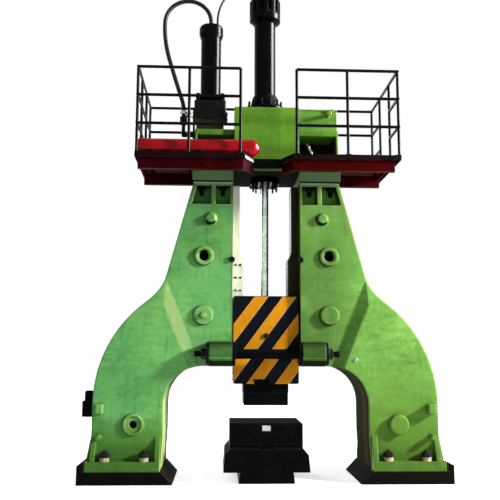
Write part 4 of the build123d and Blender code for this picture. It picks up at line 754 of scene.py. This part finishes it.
def striped_block(name):
    """The ram block: stripes in front and behind, none before the first place, oily black elsewhere."""
    tree = Tree(name)
    along = tree.minus(tree.axis("X"), tree.times(tree.axis("Z"), 1 / math.tan(stripe_slope)))
    phase = tree.math("FRACT", tree.math("DIVIDE", tree.minus(along, stripe_start), stripe_repeat))
    wear = tree.noise(14, detail=6, roughness=0.75, distortion=0.8)
    cloud = tree.noise(3.5, detail=4, roughness=0.6, distortion=0.4)
    yellow = tree.ramp(cloud, (0.3, rgb(186, 118, 14)), (0.7, rgb(214, 146, 24)))
    black = tree.ramp(cloud, (0.3, rgb(3, 7, 13)), (0.7, rgb(7, 12, 22)))
    begun = tree.above(along, stripe_first)
    inside = tree.times(begun, tree.below(phase, stripe_share))
    colour = tree.mix(inside, black, yellow)
    from_middle = tree.size(tree.minus(phase, stripe_share / 2))
    border = tree.math("COMPARE", from_middle, stripe_share / 2, stripe_border)
    colour = tree.mix(tree.times(begun, border, 0.35), colour, rgb(225, 205, 170))
    colour = tree.mix(tree.span(wear, 0.64, 0.72, 0, 0.45), colour, rgb(35, 32, 30))
    front = tree.above(tree.size(tree.normal("Y")), stripe_facing)
    painted = tree.times(front, tree.below(tree.axis("Z"), stripe_top))
    oily = tree.ramp(wear, (0.4, rgb(12, 13, 16)), (0.7, rgb(40, 40, 42)))
    colour = tree.mix(painted, oily, colour)
    grit = tree.noise(40, detail=5, roughness=0.6)
    normal = tree.bump(grit, strength=0.25, distance=0.0015, under=tree.rounded(0.006))
    return tree.finish(colour, tree.span(wear, 0.3, 0.7, 0.3, 0.5), gloss=0.05, normal=normal)


# Finishes: each finish's function with its colours and settings, and the nodes that wear it

finish_recipes = {
    "left_green": (leg_paint, {
        "side": -1, "dark": rgb(66, 120, 54), "middle": rgb(102, 168, 88), "light": rgb(132, 198, 112),
        "edge_tone": rgb(180, 204, 112), "dirt_and_shade": rgb(40, 74, 36), "cool": rgb(86, 162, 108),
        "low_tone": rgb(76, 122, 20), "low_from": 0.8, "soot_and_shade_depth": 0.24,
    }),
    "right_green": (leg_paint, {
        "side": 1, "dark": rgb(80, 124, 50), "middle": rgb(110, 162, 72), "light": rgb(146, 198, 102),
        "edge_tone": rgb(176, 204, 112), "dirt_and_shade": rgb(44, 68, 28), "cool": rgb(104, 164, 84),
        "low_tone": rgb(94, 134, 24), "low_from": 1.5, "soot_and_shade_depth": -0.43,
    }),
    "head_green": (head_paint, {
        "dark": rgb(76, 122, 32), "middle": rgb(96, 146, 42), "light": rgb(114, 164, 56),
        "edge_tone": rgb(164, 190, 100), "dirt_and_shade": rgb(44, 62, 20), "cool": rgb(84, 142, 52),
    }),
    "box_green": (sheet_paint, {
        "dark": rgb(86, 138, 46), "light": rgb(112, 166, 64),
        "edge_tone": rgb(166, 198, 104), "dirt_and_shade": rgb(44, 66, 22),
    }),
    # A lighter, yellower green than the oil box: painted light on the stub
    "stub_lit_green": (sheet_paint, {
        "dark": rgb(96, 128, 18), "light": rgb(140, 170, 34),
        "edge_tone": rgb(190, 204, 90), "dirt_and_shade": rgb(50, 60, 12),
    }),
    "frame_red": (frame_paint, {}),
    "bottle_red": (sheet_paint, {
        "dark": rgb(128, 2, 10), "light": rgb(172, 5, 22), "edge_tone": rgb(236, 120, 116),
        "dirt_and_shade": rgb(96, 4, 8), "rough": (0.16, 0.28), "gloss": 0.12,
    }),
    "gloss_black": (gloss_black_paint, {"base": rgb(1, 2, 2), "light": rgb(5, 6, 6)}),
    "rail_black": (gloss_black_paint, {
        "base": rgb(5, 5, 7), "light": rgb(20, 20, 22), "rough": (0.2, 0.34),
    }),
    "deck_black": (deck_paint, {}),
    "black_iron": (bare_iron, {
        "dark": rgb(1, 2, 2), "light": rgb(7, 9, 9), "wear_and_highlight": rgb(62, 66, 64), "gloss": 0.02,
    }),
    "charcoal_iron": (bare_iron, {
        "dark": rgb(5, 4, 3), "light": rgb(13, 11, 8), "wear_and_highlight": rgb(110, 98, 78), "rough": (0.8, 0.97),
    }),
    "dark_steel": (bare_iron, {
        "dark": rgb(9, 9, 10), "light": rgb(28, 28, 28), "wear_and_highlight": rgb(110, 110, 108),
        "rough": (0.3, 0.5), "metallic": 0.3, "grain": 90, "depth": 0.0008,
    }),
    "guide_paint": (guide_paint, {}),
    "valve_black": (valve_paint, {}),
    "bright_steel": (machined, {"dark": rgb(140, 140, 142), "light": rgb(205, 205, 205)}),
    "chrome_rod": (machined, {
        "dark": rgb(160, 178, 170), "light": rgb(226, 236, 232), "rough": (0.2, 0.32), "lay": (1, 1, 40),
    }),
    "bronze": (machined, {
        "dark": rgb(140, 98, 48), "light": rgb(196, 150, 86), "rough": (0.25, 0.45), "lay": (1, 1, 20),
    }),
    "seal_rubber": (rubber, {"dark": rgb(12, 12, 13), "light": rgb(36, 36, 38)}),
    "hose_rubber": (rubber, {"dark": rgb(8, 8, 9), "light": rgb(30, 29, 28)}),
    "stripes": (striped_block, {}),
    "foundation_bolt_steel": (bolt_finish, {}),
}

node_finishes = {
    "left_green": ["left_leg"],
    "right_green": ["right_leg"],
    "head_green": ["head_beam", "supply_flange"],
    "box_green": ["oil_box", "oil_box_cover"],
    "frame_red": ["platform_frames"],
    "bottle_red": ["gas_bottle"],
    "gloss_black": ["cylinder_tube", "cylinder_cap", "accumulator_tube", "accumulator_cap", "gland_housing"],
    "rail_black": ["left_railing", "right_railing"],
    "deck_black": ["left_deck", "right_deck"],
    "valve_black": ["valve_block"],
    "black_iron": [
        "anvil_block", "lower_die", "lower_die_wedge", "upper_die", "upper_die_keys", "head_bolts",
        "cylinder_clamp_ring", "cylinder_bolts", "accumulator_bolts", "gland_studs", "tie_rods",
        "tie_rod_spacers", "valve_covers", "bottle_cradles", "platform_bridges", "junction_box",
    ],
    "charcoal_iron": ["left_sole_plate", "right_sole_plate"],
    "dark_steel": [
        "tie_rod_nuts", "guide_clamps", "guide_screws", "ram_plug", "shutoff_valve", "valve_lever",
    ],
    "guide_paint": ["left_guide", "right_guide", "guide_liners"],
    "bright_steel": [
        "lower_die_keys", "rod_taper_sleeve", "piston", "piston_nut", "control_spool", "accumulator_piston",
        "hose_fittings",
    ],
    "chrome_rod": ["piston_rod"],
    "bronze": ["gland_bush", "piston_rings"],
    "seal_rubber": ["gland_seals"],
    "hose_rubber": ["thick_hose", "thin_hose"],
    "stripes": ["ram_block"],
    "foundation_bolt_steel": ["foundation_bolts"],
}


def make_finishes():
    return {name: make(name, **settings) for name, (make, settings) in finish_recipes.items()}


def dress_nodes(finishes):
    dressed = set()
    for finish, members in node_finishes.items():
        for name in members:
            data = nodes[name].data
            data.materials.clear()
            data.materials.append(finishes[finish])
            dressed.add(name)
    missing = sorted(set(nodes) - dressed)
    if missing:
        raise ValueError("no finish for " + ", ".join(missing))


# Stage: a hard-edged key from the right, a soft light behind, a tall strip for reflections and a weak fill

key_light = {
    "place": (12.6, -4.6, 7.0), "target": (0.0, -0.3, 2.6),
    "size": (1.5, 1.5), "power": 4700, "colour": (1.0, 0.97, 0.92),
}
rear_light = {"place": (-5.5, 11.5, 6.5), "target": (0.0, 0.0, 3.0), "size": (7.0, 5.0), "power": 900}
strip_light = {"place": (13.0, -0.6, 9.0), "target": (0.0, -0.6, 9.0), "size": (7.0, 12.0), "power": 24000}

fill_colour = (0.97, 0.98, 1.0, 1)
fill_strength = 0.2
white = (1, 1, 1, 1)

floor_radius = 40
floor_sides = 96
floor_dark = (0.86, 0.86, 0.86)
floor_light = (0.90, 0.90, 0.90)
floor_roughness = 0.9
floor_gloss = 0.1
glow_distance = (2.5, 6.0)
glow_level = (0.66, 1.0)


def add_background(tree, colour, strength):
    node = tree.nodes.new("ShaderNodeBackground")
    node.inputs["Color"].default_value = colour
    node.inputs["Strength"].default_value = strength
    return node.outputs["Background"]


def make_world():
    """White wherever it is seen or mirrored, and a weak cool fill for everything else."""
    world = bpy.data.worlds.new("world")
    world.use_nodes = True
    scene.world = world
    tree = world.node_tree
    tree.nodes.clear()
    path = tree.nodes.new("ShaderNodeLightPath")
    seen = path.outputs["Is Camera Ray"]
    for name in ("Is Glossy Ray", "Is Transmission Ray"):
        both = tree.nodes.new("ShaderNodeMath")
        both.operation = "MAXIMUM"
        tree.links.new(seen, both.inputs[0])
        tree.links.new(path.outputs[name], both.inputs[1])
        seen = both.outputs["Value"]
    mix = tree.nodes.new("ShaderNodeMixShader")
    tree.links.new(seen, mix.inputs["Fac"])
    tree.links.new(add_background(tree, fill_colour, fill_strength), mix.inputs[1])
    tree.links.new(add_background(tree, white, 1.0), mix.inputs[2])
    output = tree.nodes.new("ShaderNodeOutputWorld")
    tree.links.new(mix.outputs["Shader"], output.inputs["Surface"])


def floor_paint():
    """Pale floor that keeps the shadow near the hammer and turns white farther out."""
    tree = Tree("floor")
    colour = tree.ramp(tree.noise(8), (0.3, floor_dark), (0.7, floor_light))
    tree.finish(colour, floor_roughness, gloss=floor_gloss)
    path = tree.add("ShaderNodeLightPath")
    length = tree.add("ShaderNodeVectorMath", operation="LENGTH")
    tree.link(tree.place, length.inputs[0])
    level = tree.span(length.outputs["Value"], *glow_distance, *glow_level)
    seen = tree.larger(path.outputs["Is Camera Ray"], path.outputs["Is Glossy Ray"])
    tree.shader.inputs["Emission Color"].default_value = white
    tree.link(tree.times(seen, level), tree.shader.inputs["Emission Strength"])
    return tree.material


def make_floor():
    mesh = bpy.data.meshes.new("floor")
    shape = bmesh.new()
    bmesh.ops.create_circle(shape, cap_ends=True, segments=floor_sides, radius=floor_radius)
    shape.to_mesh(mesh)
    shape.free()
    floor = bpy.data.objects.new("floor", mesh)
    scene.collection.objects.link(floor)
    mesh.materials.append(floor_paint())


def aim(place, target):
    return (Vector(target) - Vector(place)).to_track_quat("-Z", "Y").to_matrix().to_4x4()


def make_light(name, place, target, size, power, colour=(1, 1, 1)):
    data = bpy.data.lights.new(name, "AREA")
    data.shape = "RECTANGLE"
    data.size, data.size_y = size
    data.energy = power
    data.color = colour
    light = bpy.data.objects.new(name, data)
    light.matrix_world = Matrix.Translation(place) @ aim(place, target)
    scene.collection.objects.link(light)
    return light


def make_stage():
    make_world()
    make_floor()
    make_light("key", **key_light)
    make_light("rear", **rear_light)
    strip = make_light("strip", **strip_light)
    strip.visible_diffuse = False


make_camera()
finishes = make_finishes()
for node, (route, diameter, length) in hoses.items():
    make_hose(node + "_flex", route, diameter, node, finishes["hose_rubber"])
make_oil_plug(finishes["bright_steel"])
make_drain_elbow(finishes["bright_steel"])
make_box_stub(finishes["stub_lit_green"])
dress_nodes(finishes)
make_stage()

scene.view_settings.view_transform = "Standard"
